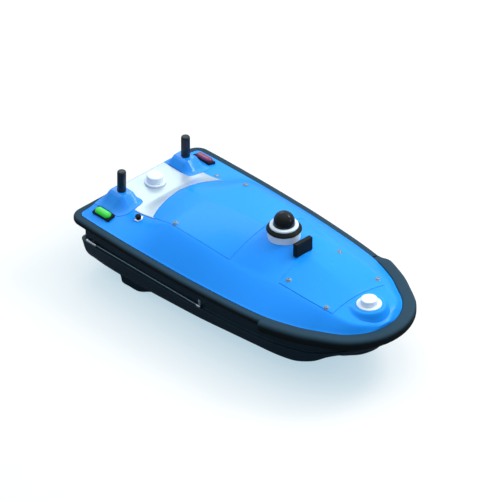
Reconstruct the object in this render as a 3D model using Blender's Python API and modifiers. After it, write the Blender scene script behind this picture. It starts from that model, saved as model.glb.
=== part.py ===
"""Uncrewed survey boat: cathedral hull, crowned deck, two lift-off hatches, twin ducted propellers.

Metres, +X forward, +Y port, +Z up, floor at z = 0.
"""
import math

import bmesh
import bpy
import numpy as np
from mathutils import Matrix, Vector

for _o in list(bpy.data.objects):
    bpy.data.objects.remove(_o, do_unlink=True)

GAP = 0.0003
XO = -0.7423                # aft end of the rub rail lies at XO - 0.015
ZD = 0.260                  # height of the deck edge over the floor
WALL = 0.008
COVER_T = 0.005
SEAM_W = 0.002
TAU = 2.0 * math.pi

scene = bpy.context.scene
parts_col = bpy.data.collections.new("parts")
scene.collection.children.link(parts_col)


def mat(name, rgb, rough=0.5, metal=0.0, coat=0.0):
    m = bpy.data.materials.get(name)
    if m:
        return m
    m = bpy.data.materials.new(name)
    m.use_nodes = True
    b = m.node_tree.nodes["Principled BSDF"]
    b.inputs["Base Color"].default_value = (rgb[0], rgb[1], rgb[2], 1.0)
    b.inputs["Roughness"].default_value = rough
    b.inputs["Metallic"].default_value = metal
    b.inputs["Coat Weight"].default_value = coat
    m.diffuse_color = (rgb[0], rgb[1], rgb[2], 1.0)
    return m


BLUE = mat("deck_blue_gelcoat", (0.012, 0.28, 0.95), 0.28, 0.0, 0.4)
HULLM = mat("hull_dark_gelcoat", (0.015, 0.032, 0.042), 0.42)
RUBBER = mat("slate_rubber", (0.022, 0.055, 0.085), 0.6)
PLATE = mat("pale_anodised_plate", (0.62, 0.74, 0.82), 0.35, 0.35)
BLACK = mat("black_plastic", (0.012, 0.012, 0.012), 0.45)
GLOSS = mat("black_gloss_dome", (0.004, 0.004, 0.005), 0.08, 0.0, 0.6)
WHITE = mat("white_plastic", (0.80, 0.80, 0.84), 0.38)
STEEL = mat("stainless_steel", (0.60, 0.62, 0.64), 0.25, 1.0)
GREEN = mat("green_lens", (0.02, 0.75, 0.03), 0.12)
RED = mat("red_lens", (0.50, 0.02, 0.14), 0.12)
BRONZE = mat("propeller_bronze", (0.45, 0.27, 0.10), 0.35, 1.0)
SEAL = mat("black_seal_rubber", (0.01, 0.01, 0.01), 0.8)
PACK = mat("battery_grey", (0.09, 0.09, 0.10), 0.5)


def smooth(xs, ys):
    """Monotone cubic through the points, as a function."""
    xs = np.array(xs, float)
    ys = np.array(ys, float)
    d = np.diff(ys) / np.diff(xs)
    m = np.zeros(len(xs))
    m[0], m[-1] = d[0], d[-1]
    for i in range(1, len(xs) - 1):
        if d[i - 1] * d[i] > 0:
            m[i] = 2.0 * d[i - 1] * d[i] / (d[i - 1] + d[i])

    def f(x):
        x = min(max(x, xs[0]), xs[-1])
        i = min(int(np.searchsorted(xs, x, side="right")) - 1, len(xs) - 2)
        h = xs[i + 1] - xs[i]
        t = (x - xs[i]) / h
        return float((2 * t**3 - 3 * t**2 + 1) * ys[i] + (t**3 - 2 * t**2 + t) * h * m[i]
                     + (-2 * t**3 + 3 * t**2) * ys[i + 1] + (t**3 - t**2) * h * m[i + 1])
    return f


# Plan and crown of the deck, x from the stern, z from the deck edge.
CR = 0.028                  # corner of the deck at the stern
NOSE_X, NOSE_R = 1.2245, 0.2205
side_s = smooth([0.046, 0.15, 0.38, 0.61, 0.83, 1.04, 1.21, 1.30],
                [0.332, 0.3356, 0.3384, 0.3356, 0.3244, 0.304, 0.255, 0.2072])
knots = [0.046 - CR * math.cos(math.radians(a)) for a in (0, 30, 60)]
knots += [0.046, 0.15, 0.35, 0.63, 0.86, 1.048, 1.10, 1.16, 1.21, 1.25, 1.29, 1.32, 1.35, 1.38, 1.40]
knots += [1.42, 1.432, 1.438, 1.4425]
knot_y = [0.332 - CR + CR * math.sin(math.radians(a)) for a in (0, 30, 60)]
knot_y += [side_s(x) if x < 1.30 else math.sqrt(NOSE_R**2 - (x - NOSE_X) ** 2) for x in knots[3:]]


def edge_y(x):
    """Half breadth of the deck, straight between the knots."""
    return float(np.interp(x, knots, knot_y))


knee_y = smooth([0.018, 0.20, 0.30, 0.44, 0.60, 0.76, 1.01, 1.15, 1.25, 1.29, 1.36, 1.40, 1.44],
                [0.165, 0.168, 0.187, 0.209, 0.214, 0.209, 0.1765, 0.169, 0.157, 0.146, 0.128, 0.100, 0.030])
knee_z = smooth([0.018, 0.034, 0.20, 0.30, 0.44, 0.60, 0.76, 1.01, 1.20, 1.25, 1.29, 1.36, 1.40, 1.44],
                [0.016, 0.046, 0.046, 0.056, 0.096, 0.098, 0.088, 0.083, 0.072, 0.066, 0.057, 0.045,
                 0.036, 0.018])
ridge_z = smooth([0.018, 0.034, 0.20, 0.27, 0.33, 0.45, 0.74, 0.80, 0.86, 0.90, 0.94, 0.98, 1.04, 1.16,
                  1.25, 1.29, 1.36, 1.40, 1.44],
                 [0.016, 0.046, 0.046, 0.086, 0.106, 0.125, 0.155, 0.164, 0.168, 0.163, 0.144, 0.128,
                  0.119, 0.098, 0.077, 0.065, 0.052, 0.042, 0.020])


def crown(x, y):
    """Height of the deck at (x, y)."""
    y = abs(y)
    ky, kz, rz, ey = knee_y(x), knee_z(x), ridge_z(x), edge_y(x)
    if y <= ky:
        t = y / ky
        return rz + (kz - rz) * (0.50 * t + 0.50 * t * t)
    t = min((y - ky) / (ey - ky), 1.0)
    return kz * (1.0 - t**1.25) + 0.004 * t


def vec(x, y, z):
    return Vector((x + XO, y, z + ZD))


def new_obj(name, bm, material, smooth_ang=30.0):
    bmesh.ops.remove_doubles(bm, verts=bm.verts, dist=0.00001)
    bmesh.ops.recalc_face_normals(bm, faces=bm.faces)
    me = bpy.data.meshes.new(name)
    bm.to_mesh(me)
    bm.free()
    me.materials.append(material)
    for p in me.polygons:
        p.use_smooth = False
    ob = bpy.data.objects.new(name, me)
    parts_col.objects.link(ob)
    return ob


def loft(rings):
    """Closed body through rings of equal count."""
    bm = bmesh.new()
    vs = [[bm.verts.new(p) for p in r] for r in rings]
    n = len(vs[0])
    for a, b in zip(vs[:-1], vs[1:]):
        for i in range(n):
            j = (i + 1) % n
            bm.faces.new((a[i], a[j], b[j], b[i]))
    bm.faces.new(vs[0][::-1])
    bm.faces.new(vs[-1])
    return bm


def boolean(ob, cutter, op="DIFFERENCE"):
    md = ob.modifiers.new("cut", "BOOLEAN")
    md.solver = "EXACT"
    md.operation = op
    md.object = cutter
    dg = bpy.context.evaluated_depsgraph_get()
    me = bpy.data.meshes.new_from_object(ob.evaluated_get(dg))
    ob.modifiers.clear()
    old = ob.data
    ob.data = me
    bpy.data.meshes.remove(old)
    bpy.data.objects.remove(cutter, do_unlink=True)


def prim(name, bm, material):
    return new_obj(name, bm, material)


def cyl(r, h, seg=32):
    bm = bmesh.new()
    bmesh.ops.create_cone(bm, cap_ends=True, segments=seg, radius1=r, radius2=r, depth=h)
    bmesh.ops.translate(bm, verts=bm.verts, vec=(0, 0, h / 2))
    return bm


def box(sx, sy, sz, bev=0.0, seg=2):
    bm = bmesh.new()
    bmesh.ops.create_cube(bm, size=1.0)
    bmesh.ops.scale(bm, verts=bm.verts, vec=(sx, sy, sz))
    if bev:
        bmesh.ops.bevel(bm, geom=bm.edges[:], offset=bev, segments=seg, profile=0.5, affect="EDGES")
    return bm


def turned(name, profile, material, seg=40, closed=False):
    """Screw modifier on a half profile in the XZ plane, read top to bottom."""
    me = bpy.data.meshes.new(name)
    pts = [(r, 0.0, z) for r, z in profile]
    ed = [(i, i + 1) for i in range(len(pts) - 1)]
    if closed:
        ed.append((len(pts) - 1, 0))
    me.from_pydata(pts, ed, [])
    ob = bpy.data.objects.new(name, me)
    parts_col.objects.link(ob)
    md = ob.modifiers.new("screw", "SCREW")
    md.axis = "Z"
    md.angle = TAU
    md.steps = seg
    md.render_steps = seg
    md.use_merge_vertices = True
    md.merge_threshold = 0.00001
    dg = bpy.context.evaluated_depsgraph_get()
    out = bpy.data.meshes.new_from_object(ob.evaluated_get(dg))
    bpy.data.objects.remove(ob, do_unlink=True)
    bm = bmesh.new()
    bm.from_mesh(out)
    bpy.data.meshes.remove(out)
    if material is None:
        bmesh.ops.remove_doubles(bm, verts=bm.verts, dist=0.00001)
        bmesh.ops.recalc_face_normals(bm, faces=bm.faces)
        return bm
    return new_obj(name, bm, material)


def place(bm, p, rot=None):
    m = Matrix.Translation(p)
    if rot is not None:
        m = m @ rot
    bmesh.ops.transform(bm, matrix=m, verts=bm.verts)
    return bm


def merge(name, bms, material):
    out = bmesh.new()
    for b in bms:
        me = bpy.data.meshes.new("tmp")
        b.to_mesh(me)
        b.free()
        out.from_mesh(me)
        bpy.data.meshes.remove(me)
    return new_obj(name, out, material)


def copy_bm(b):
    return b.copy()


def mirror_y(b):
    c = b.copy()
    bmesh.ops.scale(c, verts=c.verts, vec=(1, -1, 1))
    bmesh.ops.reverse_faces(c, faces=c.faces)
    return c


def solid(bm):
    return new_obj("solid", bm, BLACK)


# Hull moulding: outer side with a recessed band and a ledge, sponsons, tunnels, centre hull.
TOPZ = -0.005
spon_z = smooth([0.0, 0.05, 0.18, 0.60, 1.00, 1.15, 1.24, 1.30, 1.35, 1.44],
                [-0.196, -0.207, -0.214, -0.201, -0.186, -0.190, -0.168, -0.132, -0.108, -0.080])
keel_z = smooth([0.0, 0.05, 1.10, 1.21, 1.27, 1.324, 1.39, 1.42, 1.44],
                [-0.252, -0.260, -0.260, -0.246, -0.218, -0.188, -0.134, -0.098, -0.070])
roof_z = smooth([0.0, 0.040, 0.066, 1.10, 1.30, 1.44], [-0.124, -0.124, -0.108, -0.108, -0.096, -0.066])
mid_y = smooth([0.0, 0.90, 1.15, 1.30, 1.40, 1.44], [0.092, 0.095, 0.082, 0.058, 0.034, 0.018])
LEDGE, RECESS, RAKE = -0.112, 0.015, 0.22
ledge_z = smooth([0.0, 1.22, 1.30, 1.36, 1.44], [LEDGE, LEDGE, -0.102, -0.082, -0.060])


def hull_half(x):
    """Half section from the keel out and up to the top flange."""
    ey = edge_y(max(x, 0.018))
    sz, kz, rz, my = spon_z(x), keel_z(x), roof_z(x), mid_y(x)
    k = min(1.0, max(0.0, (sz - rz) / -0.09))
    yi = min(0.232, ey * 0.70)
    rec = RECESS if ey > 0.06 else 0.25 * ey
    inner = 0.15 if x > 0.05 else 0.01
    s = ey - 0.002
    ys = yi + (s - yi) * 0.90
    yb = yi + (s - yi) * 0.62
    pts = [(0.0, kz), (0.30 * my, kz), (0.72 * my, kz + 0.16 * (rz - kz)), (my, kz + 0.55 * (rz - kz)),
           (my + 0.004, rz - 0.006), (my + 0.012, rz), (yi - 0.014, rz), (yi, rz + inner * (sz - rz)),
           (yi + 0.006, rz + 0.62 * (sz - rz)), (yi + 0.024 * k + 0.004, sz), (yb, sz),
           (ys, rz + 0.62 * (sz - rz)), (s, min(-0.122, rz + 0.0) if k > 0 else rz)]
    lo = float(ledge_z(x))
    pts[-1] = (s, lo - 0.007)
    top = min(-0.046, lo * 0.42)
    pts += [(ey, lo - 0.003), (ey, lo), (ey - rec, lo + 0.001), (ey - rec, top), (ey, top + 0.005), (ey, TOPZ)]
    return pts


def hull_ring(i, x):
    """Ring at station i; round the stern corner the upper points step in along the corner's normal."""
    h, ey, a = hull_half(x), edge_y(max(x, 0.018)), math.radians(30 * i)
    right = []
    for y, z in h:
        px, py = x, y
        if i < 3 and z > LEDGE - 0.008 and y > 0.25:
            px, py = x + (ey - y) * math.cos(a), ey - (ey - y) * math.sin(a)
        elif z < LEDGE - 0.008 and y > 0.231:
            px = x + RAKE * (LEDGE - 0.008 - z) * max(0.0, 1.0 - (x - 0.018) / 0.10)
        right.append(vec(px, py, z))
    return right + [Vector((p.x, -p.y, p.z)) for p in reversed(right[1:])]


def hull_body(rings):
    """Loft through the rings; the transom is closed hull by hull and row by row, because it steps in."""
    bm = bmesh.new()
    vs = [[bm.verts.new(p) for p in r] for r in rings]
    n = len(vs[0])
    for a, b in zip(vs[:-1], vs[1:]):
        for i in range(n):
            j = (i + 1) % n
            bm.faces.new((a[i], a[j], b[j], b[i]))
    end = vs[0]
    bm.faces.new((end[:6] + end[n - 5:])[::-1])
    bm.faces.new(end[7:13][::-1])
    bm.faces.new(end[n - 12:n - 6][::-1])
    bm.faces.new((end[12], end[7], end[6], end[5], end[n - 5], end[n - 6], end[n - 7], end[n - 12]))
    for i in range(12, (n + 1) // 2 - 1):
        bm.faces.new((end[i + 1], end[i], end[n - i], end[n - i - 1]))
    bm.faces.new(vs[-1])
    return bm


xs_h = knots[:4] + [0.066, 0.15, 0.18, 0.28, 0.38, 0.48] + [x for x in knots if 0.5 < x < 1.435]
hull = new_obj("hull_moulding", hull_body([hull_ring(i, x) for i, x in enumerate(xs_h)]), HULLM)


# Deck moulding: crowned loft over the hull flange.
def deck_half(x):
    ey, ky = edge_y(x), knee_y(x)
    ys = [0.0, 0.42 * ky, 0.80 * ky, 0.97 * ky, ky + 0.08 * (ey - ky)]
    ys += [ky + t * (ey - ky) for t in (0.34, 0.64, 0.90, 1.0)]
    return [(y, crown(x, y)) for y in ys]


BOT = TOPZ + GAP


xs_d = knots[:3] + [0.034, 0.046, 0.15, 0.20, 0.23, 0.265, 0.30, 0.35, 0.42, 0.52, 0.63, 0.74, 0.80]
xs_d += [0.86, 0.90, 0.94, 0.98] + [x for x in knots if x > 1.0]
xs_d.sort()


def slab(lift, drop=None, x0=0.0, x1=2.0, bottom=None):
    """Closed sheet between the crown raised by lift and either the crown less drop or one level."""
    last = len(xs_d) - 1
    st = [x for i, x in enumerate(xs_d) if (x >= x0 and x <= x1) or (x < x0 and xs_d[min(i + 1, last)] > x0)
          or (x > x1 and xs_d[i - 1] < x1)]
    bm = bmesh.new()
    top, low = [], []
    for x in st:
        h = deck_half(x)
        row = [(-y, z) for y, z in reversed(h[1:])] + h
        top.append([bm.verts.new(vec(x, y, z + lift)) for y, z in row])
        low.append([bm.verts.new(vec(x, y, z - drop if bottom is None else bottom)) for y, z in row])
    n = len(top[0])
    for i in range(len(st) - 1):
        for j in range(n - 1):
            for g in (top, low):
                p, q, r, t = g[i][j], g[i][j + 1], g[i + 1][j + 1], g[i + 1][j]
                for f in (((p, q, r), (p, r, t)) if j < n // 2 else ((q, t, p), (q, r, t))):
                    bm.faces.new(f)
        for j in (0, n - 1):
            bm.faces.new((top[i][j], top[i + 1][j], low[i + 1][j], low[i][j]))
    for i in (0, len(st) - 1):
        for j in range(n - 1):
            bm.faces.new((top[i][j], top[i][j + 1], low[i][j + 1], low[i][j]))
    return bm


deck = new_obj("deck_moulding", slab(0.0, bottom=BOT), BLUE)


def on_deck(ob, lift=0.0):
    """Cut away whatever reaches below the deck or a cover, leaving the usual gap."""
    boolean(ob, solid(slab(lift + GAP, bottom=-0.30)))


# Hatch covers: the crown cut out along each outline, a few millimetres thick.
LONG_ARC, FRONT_ARC, FORE_ARC = 0.038, 0.020, 0.012
def long_outline(inset):
    """Plan outline of the long hatch, counter-clockwise."""
    xf, n = 0.763 - inset, 10
    side = [(x, knee_y(x) - inset) for x in np.linspace(xf, 0.300 + inset, n)]
    ya = knee_y(0.30) - inset
    arc = [(0.300 - LONG_ARC + inset + LONG_ARC * (y / ya) ** 2, y) for y in np.linspace(ya, -ya, 11)[1:-1]]
    return side + arc + [(x, -y) for x, y in reversed(side)]


def front_outline(inset):
    """Plan outline of the front hatch; both its ends are arcs that bow aft."""
    xa, xf = 1.011 + inset, 1.290 - inset
    side = [(x, knee_y(x) - inset) for x in np.linspace(xf, xa, 8)]
    ya, yf = side[-1][1], side[0][1]
    arc = [(xa - FRONT_ARC + FRONT_ARC * (y / ya) ** 2, y) for y in np.linspace(ya, -ya, 9)[1:-1]]
    fore = [(xf - FORE_ARC + FORE_ARC * (y / yf) ** 2, y) for y in np.linspace(-yf, yf, 7)[1:-1]]
    return side + arc + [(x, -y) for x, y in reversed(side)] + fore


def prism(outline, z0, z1):
    return loft([[vec(x, y, z0) for x, y in outline], [vec(x, y, z1) for x, y in outline]])


def patch(outline, lift, drop, name):
    """Piece of the crown over an outline, with a given top and underside."""
    xa = min(p[0] for p in outline) - 0.002
    xb = max(p[0] for p in outline) + 0.002
    ob = new_obj(name, slab(lift, drop, xa, xb), BLUE)
    boolean(ob, solid(prism(outline, -0.20, 0.40)), "INTERSECT")
    return ob


SEAT = 0.0085
LAND = 0.016
hatch = patch(long_outline(SEAM_W), 0.0012, COVER_T, "long_hatch_cover")
fhatch = patch(front_outline(SEAM_W), 0.0012, COVER_T, "front_hatch_cover")
gasket = patch(long_outline(SEAM_W + 0.004), -COVER_T - GAP, SEAT - GAP, "long_hatch_seal")
fgasket = patch(front_outline(SEAM_W + 0.004), -COVER_T - GAP, SEAT - GAP, "front_hatch_seal")
boolean(gasket, solid(prism(long_outline(SEAM_W + 0.012), -0.1, 0.3)))
boolean(fgasket, solid(prism(front_outline(SEAM_W + 0.012), -0.1, 0.3)))
for g in (gasket, fgasket):
    g.data.materials.clear()
    g.data.materials.append(SEAL)
seat_l = patch(long_outline(0.0), 0.05, SEAT, "seat_l")
seat_f = patch(front_outline(0.0), 0.05, SEAT, "seat_f")
boolean(deck, seat_l)
boolean(deck, seat_f)
boolean(deck, solid(prism(long_outline(LAND), -0.05, 0.30)))
boolean(deck, solid(prism(front_outline(LAND), -0.05, 0.30)))


# Compartments in the hull under each hatch, down into the centre hull.
def well(outline_fn, x0, x1, half_floor, floor):
    """Upper well over the tunnels plus a trough in the centre hull."""
    up = solid(prism(outline_fn(LAND), floor, 0.05))
    lo = []
    for x in (x0, 0.5 * (x0 + x1), x1):
        kz, my, rz = keel_z(x) + WALL, mid_y(x) - WALL, roof_z(x) + 0.004
        ring = [(0.28 * half_floor, kz), (0.62 * my, kz + 0.17 * (rz - kz)),
                (my - 0.001, kz + 0.56 * (rz - kz)),
                (my, rz + 0.032)]
        lo.append([vec(x, y, z) for y, z in ring] + [vec(x, -y, z) for y, z in reversed(ring)])
    low = solid(loft(lo))
    boolean(up, low, "UNION")
    return up


boolean(hull, well(long_outline, 0.32, 0.735, 0.09, -0.096))
boolean(hull, well(front_outline, 1.035, 1.20, 0.07, -0.084))

# Rub rail round stern and sides, bumper round the bow.
RAIL_OUT = 0.033


def outline_offset(d):
    """Port half of the deck outline moved outward, from the bow's middle to the stern's middle."""
    pts = [(knots[-1], 0.0)] + list(zip(reversed(knots), reversed(knot_y))) + [(knots[0], 0.0)]
    out = []
    for i, (x, y) in enumerate(pts):
        a = pts[max(i - 1, 0)]
        c = pts[min(i + 1, len(pts) - 1)]
        t1 = Vector((x - a[0], y - a[1])) if i else Vector((0.0, 1.0))
        t2 = Vector((c[0] - x, c[1] - y)) if i < len(pts) - 1 else Vector((0.0, -1.0))
        n1 = Vector((t1.y, -t1.x)).normalized()
        n2 = Vector((t2.y, -t2.x)).normalized()
        m = n1 + n2
        k = d / max(0.3, m.dot(n1))
        out.append((x + m.x * k, y + m.y * k))
    return out


def swept(name, path, profile, material, cyclic=False):
    """Curve with a bevel profile and filled ends."""
    pc = bpy.data.curves.new("profile", "CURVE")
    pc.dimensions = "2D"
    sp = pc.splines.new("POLY")
    sp.points.add(len(profile) - 1)
    for q, (a, b) in zip(sp.points, profile):
        q.co = (a, b, 0, 1)
    sp.use_cyclic_u = True
    po = bpy.data.objects.new("profile", pc)
    parts_col.objects.link(po)
    cu = bpy.data.curves.new(name, "CURVE")
    cu.dimensions = "3D"
    cu.twist_mode = "Z_UP"
    cu.bevel_mode = "OBJECT"
    cu.bevel_object = po
    cu.use_fill_caps = True
    sp = cu.splines.new("POLY")
    sp.points.add(len(path) - 1)
    for q, p in zip(sp.points, path):
        q.co = (p[0], p[1], p[2], 1)
    sp.use_cyclic_u = cyclic
    co = bpy.data.objects.new(name, cu)
    parts_col.objects.link(co)
    dg = bpy.context.evaluated_depsgraph_get()
    me = bpy.data.meshes.new_from_object(co.evaluated_get(dg))
    bpy.data.objects.remove(co, do_unlink=True)
    bpy.data.objects.remove(po, do_unlink=True)
    bm = bmesh.new()
    bm.from_mesh(me)
    bpy.data.meshes.remove(me)
    if material is None:
        bmesh.ops.remove_doubles(bm, verts=bm.verts, dist=0.00001)
        return bm
    return new_obj(name, bm, material)


def rounded(w, h, r, seg=3, lean=0.0):
    pts = []
    for cx, cy, a0 in ((w / 2 - r, h / 2 - r, 0), (-w / 2 + r, h / 2 - r, 90), (-w / 2 + r, -h / 2 + r, 180),
                       (w / 2 - r, -h / 2 + r, 270)):
        for i in range(seg + 1):
            a = math.radians(a0 + 90 * i / seg)
            y = cy + r * math.sin(a)
            pts.append((cx + r * math.cos(a) + lean * y, y))
    return pts


RW, RH = RAIL_OUT - GAP, 0.032
JOIN = 1.048
full = outline_offset(GAP + RW / 2)
aft = [p for p in full if p[0] < JOIN + 0.01 and p[1] > 0.001]
path = [vec(x, y, -0.012) for x, y in aft] + [vec(x, -y, -0.012) for x, y in reversed(aft)]
rail = swept("rub_rail", path, rounded(RW, RH, 0.012, 3), RUBBER)

BW, BH = 0.057, 0.054
full = outline_offset(GAP + BW / 2)
fwd = [p for p in full if p[0] > JOIN + 0.01]
j = [p for p in full if p[0] <= JOIN + 0.01][0]
t = (JOIN + 0.012 - fwd[-1][0]) / (j[0] - fwd[-1][0])
fwd.append((JOIN + 0.012, fwd[-1][1] + t * (j[1] - fwd[-1][1])))
path = [vec(x, -y, -0.017) for x, y in reversed(fwd)] + [vec(x, y, -0.017) for x, y in fwd[1:]]
bumper = swept("bow_bumper", path, rounded(BW, BH, 0.020, 3), RUBBER)


def frame_at(x, y, lift=0.0):
    """Place and tilt that stand square on the deck at (x, y)."""
    e = 0.004
    gx = (crown(x + e, y) - crown(x - e, y)) / (2 * e)
    gy = (crown(x, y + e) - crown(x, y - e)) / (2 * e)
    n = Vector((-gx, -gy, 1.0)).normalized()
    ax = (Vector((1, 0, 0)) - n * n.x).normalized()
    ay = n.cross(ax)
    m = Matrix((ax, ay, n)).transposed().to_4x4()
    return Matrix.Translation(vec(x, y, crown(x, y) + lift)) @ m


def stand(bm, x, y, lift=0.0):
    bmesh.ops.transform(bm, matrix=frame_at(x, y, lift), verts=bm.verts)
    return bm


def pair(name, bm, material, lift=None):
    """A starboard piece and its mirror image, trimmed to the deck if a lift is given."""
    ob = new_obj(name + "_starboard", bm, material)
    if lift is not None:
        on_deck(ob, lift)
    b = bmesh.new()
    b.from_mesh(ob.data)
    c = mirror_y(b)
    b.free()
    return ob, new_obj(name + "_port", c, material)


# Stern plate between the fairings, up to the arc of the long hatch.
pl = [(0.036, 0.1245), (0.166, 0.1245), (0.1835, 0.1325), (0.1915, 0.152), (0.1955, 0.1855), (0.294, 0.1835)]
arc = [(0.2585 + LONG_ARC * (y / knee_y(0.30)) ** 2, y) for y in np.linspace(0.176, 0.0, 8)]
half = pl + arc[:-1]
plan = half + [arc[-1]] + [(x, -y) for x, y in reversed(half)]
plate = patch(plan, 0.003, -GAP, "stern_plate")
plate.data.materials.clear()
plate.data.materials.append(PLATE)

# Stern fairings, raised blocks that carry the whip antennas.
HTOP = 0.0900
fair = []
for y, xa, xt, zt, xe, xf in ((0.1262, 0.052, 0.080, 0.058, 0.116, 0.166), (0.136, 0.046, 0.076, 0.072, 0.128, 0.184),
                              (0.147, 0.042, 0.074, 0.084, 0.138, 0.1885), (0.158, 0.040, 0.072, HTOP, 0.143, 0.190),
                              (0.199, 0.036, 0.072, HTOP, 0.138, 0.190), (0.212, 0.034, 0.074, 0.082, 0.134, 0.189),
                              (0.226, 0.033, 0.076, 0.066, 0.128, 0.186), (0.242, 0.031, 0.080, 0.046, 0.120, 0.178),
                              (0.257, 0.030, 0.084, 0.032, 0.110, 0.160)):
    zb = crown(0.1, y) - 0.012
    zf = crown(xf, y) + 0.002
    zs = crown(xa, y) + 0.004
    fair.append([vec(xa, -y, min(zb, zs - 0.012)), vec(xa, -y, zs), vec(0.5 * (xa + xt), -y, 0.35 * zs + 0.65 * zt),
                 vec(xt, -y, zt), vec(xe, -y, zt), vec(xe + 0.30 * (xf - xe), -y, zt - 0.20 * (zt - zf)),
                 vec(xe + 0.62 * (xf - xe), -y, zf + 0.26 * (zt - zf)), vec(xf, -y, zf),
                 vec(xf, -y, min(zb, zf - 0.012))])
pair("stern_fairing", loft(fair), BLUE, 0.0)


# Whip antennas, nav lights, switch and cap.
def capsule(r, h, flat=0.0015, seg=6):
    prof = [(0.0, h)]
    prof += [(r * math.sin(math.radians(90 * i / seg)), h - r + r * math.cos(math.radians(90 * i / seg)))
             for i in range(1, seg + 1)]
    prof += [(r, flat), (r - flat, 0.0), (0.0, 0.0)]
    return prof


ant = turned("a", capsule(0.0185, 0.0945, 0.0015, 4), None, 20)
pair("whip_antenna", place(ant, vec(0.108, -0.1785, HTOP + GAP)), BLACK)

NX, NY = 0.109, 0.280
base = box(0.094, 0.040, 0.020, 0.003, 2)
bmesh.ops.translate(base, verts=base.verts, vec=(0, 0, 0.0))
pair("nav_light_base", stand(base, NX, -NY), BLACK, 0.0)


def lens(side, name, material):
    """Long rounded lens on top of its base."""
    bm = box(0.080, 0.034, 0.018, 0.0, 1)
    vert = [e for e in bm.edges if abs(e.verts[0].co.z - e.verts[1].co.z) > 0.01]
    bmesh.ops.bevel(bm, geom=vert, offset=0.0165, segments=6, profile=0.5, affect="EDGES")
    topf = [e for e in bm.edges if e.verts[0].co.z > 0.008 and e.verts[1].co.z > 0.008]
    bmesh.ops.bevel(bm, geom=topf, offset=0.0065, segments=3, profile=0.5, affect="EDGES")
    bmesh.ops.translate(bm, verts=bm.verts, vec=(0, 0, 0.010 + GAP + 0.009))
    return new_obj(name, stand(bm, NX, side * NY), material)


lens(-1, "nav_lens_starboard", GREEN)
lens(1, "nav_lens_port", RED)

SX, SY = 0.249, 0.218
ob = new_obj("switch_nut", stand(place(cyl(0.0150, 0.012, 6), Vector((0, 0, -0.008))), SX, -SY), STEEL)
on_deck(ob)
knob = [(0.0, 0.014), (0.0095, 0.014), (0.0115, 0.0125), (0.0120, 0.010), (0.0115, 0.0), (0.0, 0.0)]
knob = place(turned("k", knob, None, 24), Vector((0, 0, 0.004 + GAP)))
new_obj("switch_knob", stand(knob, SX, -SY), BLACK)
cap = turned("c", [(0.0, 0.006), (0.005, 0.0055), (0.0085, 0.003), (0.0095, 0.0), (0.0095, -0.006),
                   (0.0, -0.006)], None, 24)
ob = new_obj("deck_cap_port", stand(cap, SX, SY), STEEL)
on_deck(ob)

# Position antennas: a flange and a low puck at stern and bow.
PT = 0.0494 + 0.003
PX = 0.116


def puck(r, h):
    return [(0.0, h), (0.72 * r, h - 0.0008), (0.90 * r, h - 0.003), (r, h - 0.008), (r, 0.0), (0.0, 0.0)]


def flange(r, h):
    return [(0.0, h), (r - 0.002, h), (r, h - 0.0015), (r, -0.006), (0.0, -0.006)]


def turned_at(name, profile, x, z, material, seg=28):
    """Turned piece standing on the centreline."""
    return new_obj(name, place(turned("t", profile, None, seg), vec(x, 0, z)), material)


ob = turned_at("stern_position_flange", flange(0.044, 0.006), PX, 0.0515, WHITE)
on_deck(ob, 0.003)
turned_at("stern_position_antenna", puck(0.0345, 0.029), PX, 0.0575 + GAP, WHITE)

BX, BZ = 1.350, 0.0660
prof = [(0.0, BZ), (0.056, BZ), (0.064, BZ - 0.004), (0.076, BZ - 0.020), (0.086, BZ - 0.048)]
boss = turned_at("bow_boss", prof + [(0.0, BZ - 0.048)], BX, 0.0, BLUE)
boolean(boss, solid(place(box(0.20, 0.4, 0.4), vec(1.2945 - 0.10, 0, 0))))
boolean(boss, solid(place(box(0.20, 0.4, 0.4), vec(1.425 + 0.10, 0, 0))))
on_deck(boss)
prof = [(0.0, 0.004), (0.0495, 0.004), (0.0515, 0.0025), (0.0515, 0.0), (0.0, 0.0)]
turned_at("bow_position_flange", prof, BX, BZ + GAP, WHITE)
turned_at("bow_position_antenna", puck(0.0345, 0.024), BX, BZ + 0.004 + 2 * GAP, WHITE)

# Dome camera on the ridge.
CX = 0.862
prof = [(0.0, 0.187), (0.067, 0.187), (0.067, 0.165), (0.064, 0.10), (0.0, 0.10)]
ob = turned_at("camera_base", prof, CX, 0.0, WHITE, 30)
on_deck(ob)
prof = [(0.0, 0.2055), (0.062, 0.2055), (0.0705, 0.198), (0.0725, 0.190), (0.0700, 0.187 + GAP),
        (0.0, 0.187 + GAP)]
turned_at("camera_lower_ring", prof, CX, 0.0, BLACK, 32)
prof = [(0.0, 0.2145), (0.055, 0.2145), (0.059, 0.2115), (0.059, 0.2055 + GAP), (0.0, 0.2055 + GAP)]
turned_at("camera_upper_ring", prof, CX, 0.0, WHITE, 32)
dome = [(0.0, 0.2705)] + [(0.0438 * math.sin(math.radians(a)), 0.2267 + 0.0438 * math.cos(math.radians(a)))
                          for a in (20, 40, 60, 78, 90)]
turned_at("camera_dome", dome + [(0.0438, 0.2145 + GAP), (0.0, 0.2145 + GAP)], CX, 0.0, GLOSS, 30)

# Radar standing across the deck.
ob = new_obj("radar_box", place(box(0.022, 0.092, 0.074, 0.004, 2), vec(0.970, 0, 0.150)), BLACK)
on_deck(ob)


# Captive screws on the covers.
def captive(name, x, y):
    prof = [(0.0, 0.0080), (0.0060, 0.0068), (0.0095, 0.0022), (0.0095, -0.009), (0.0, -0.009)]
    pair(name, stand(turned("s", prof, None, 14), x, -y, 0.0012), STEEL, 0.0012)


captive("long_hatch_screw", 0.439, 0.1955)
captive("front_hatch_screw_aft", 1.035, 0.141)
captive("front_hatch_screw_fore", 1.252, 0.143)

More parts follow.
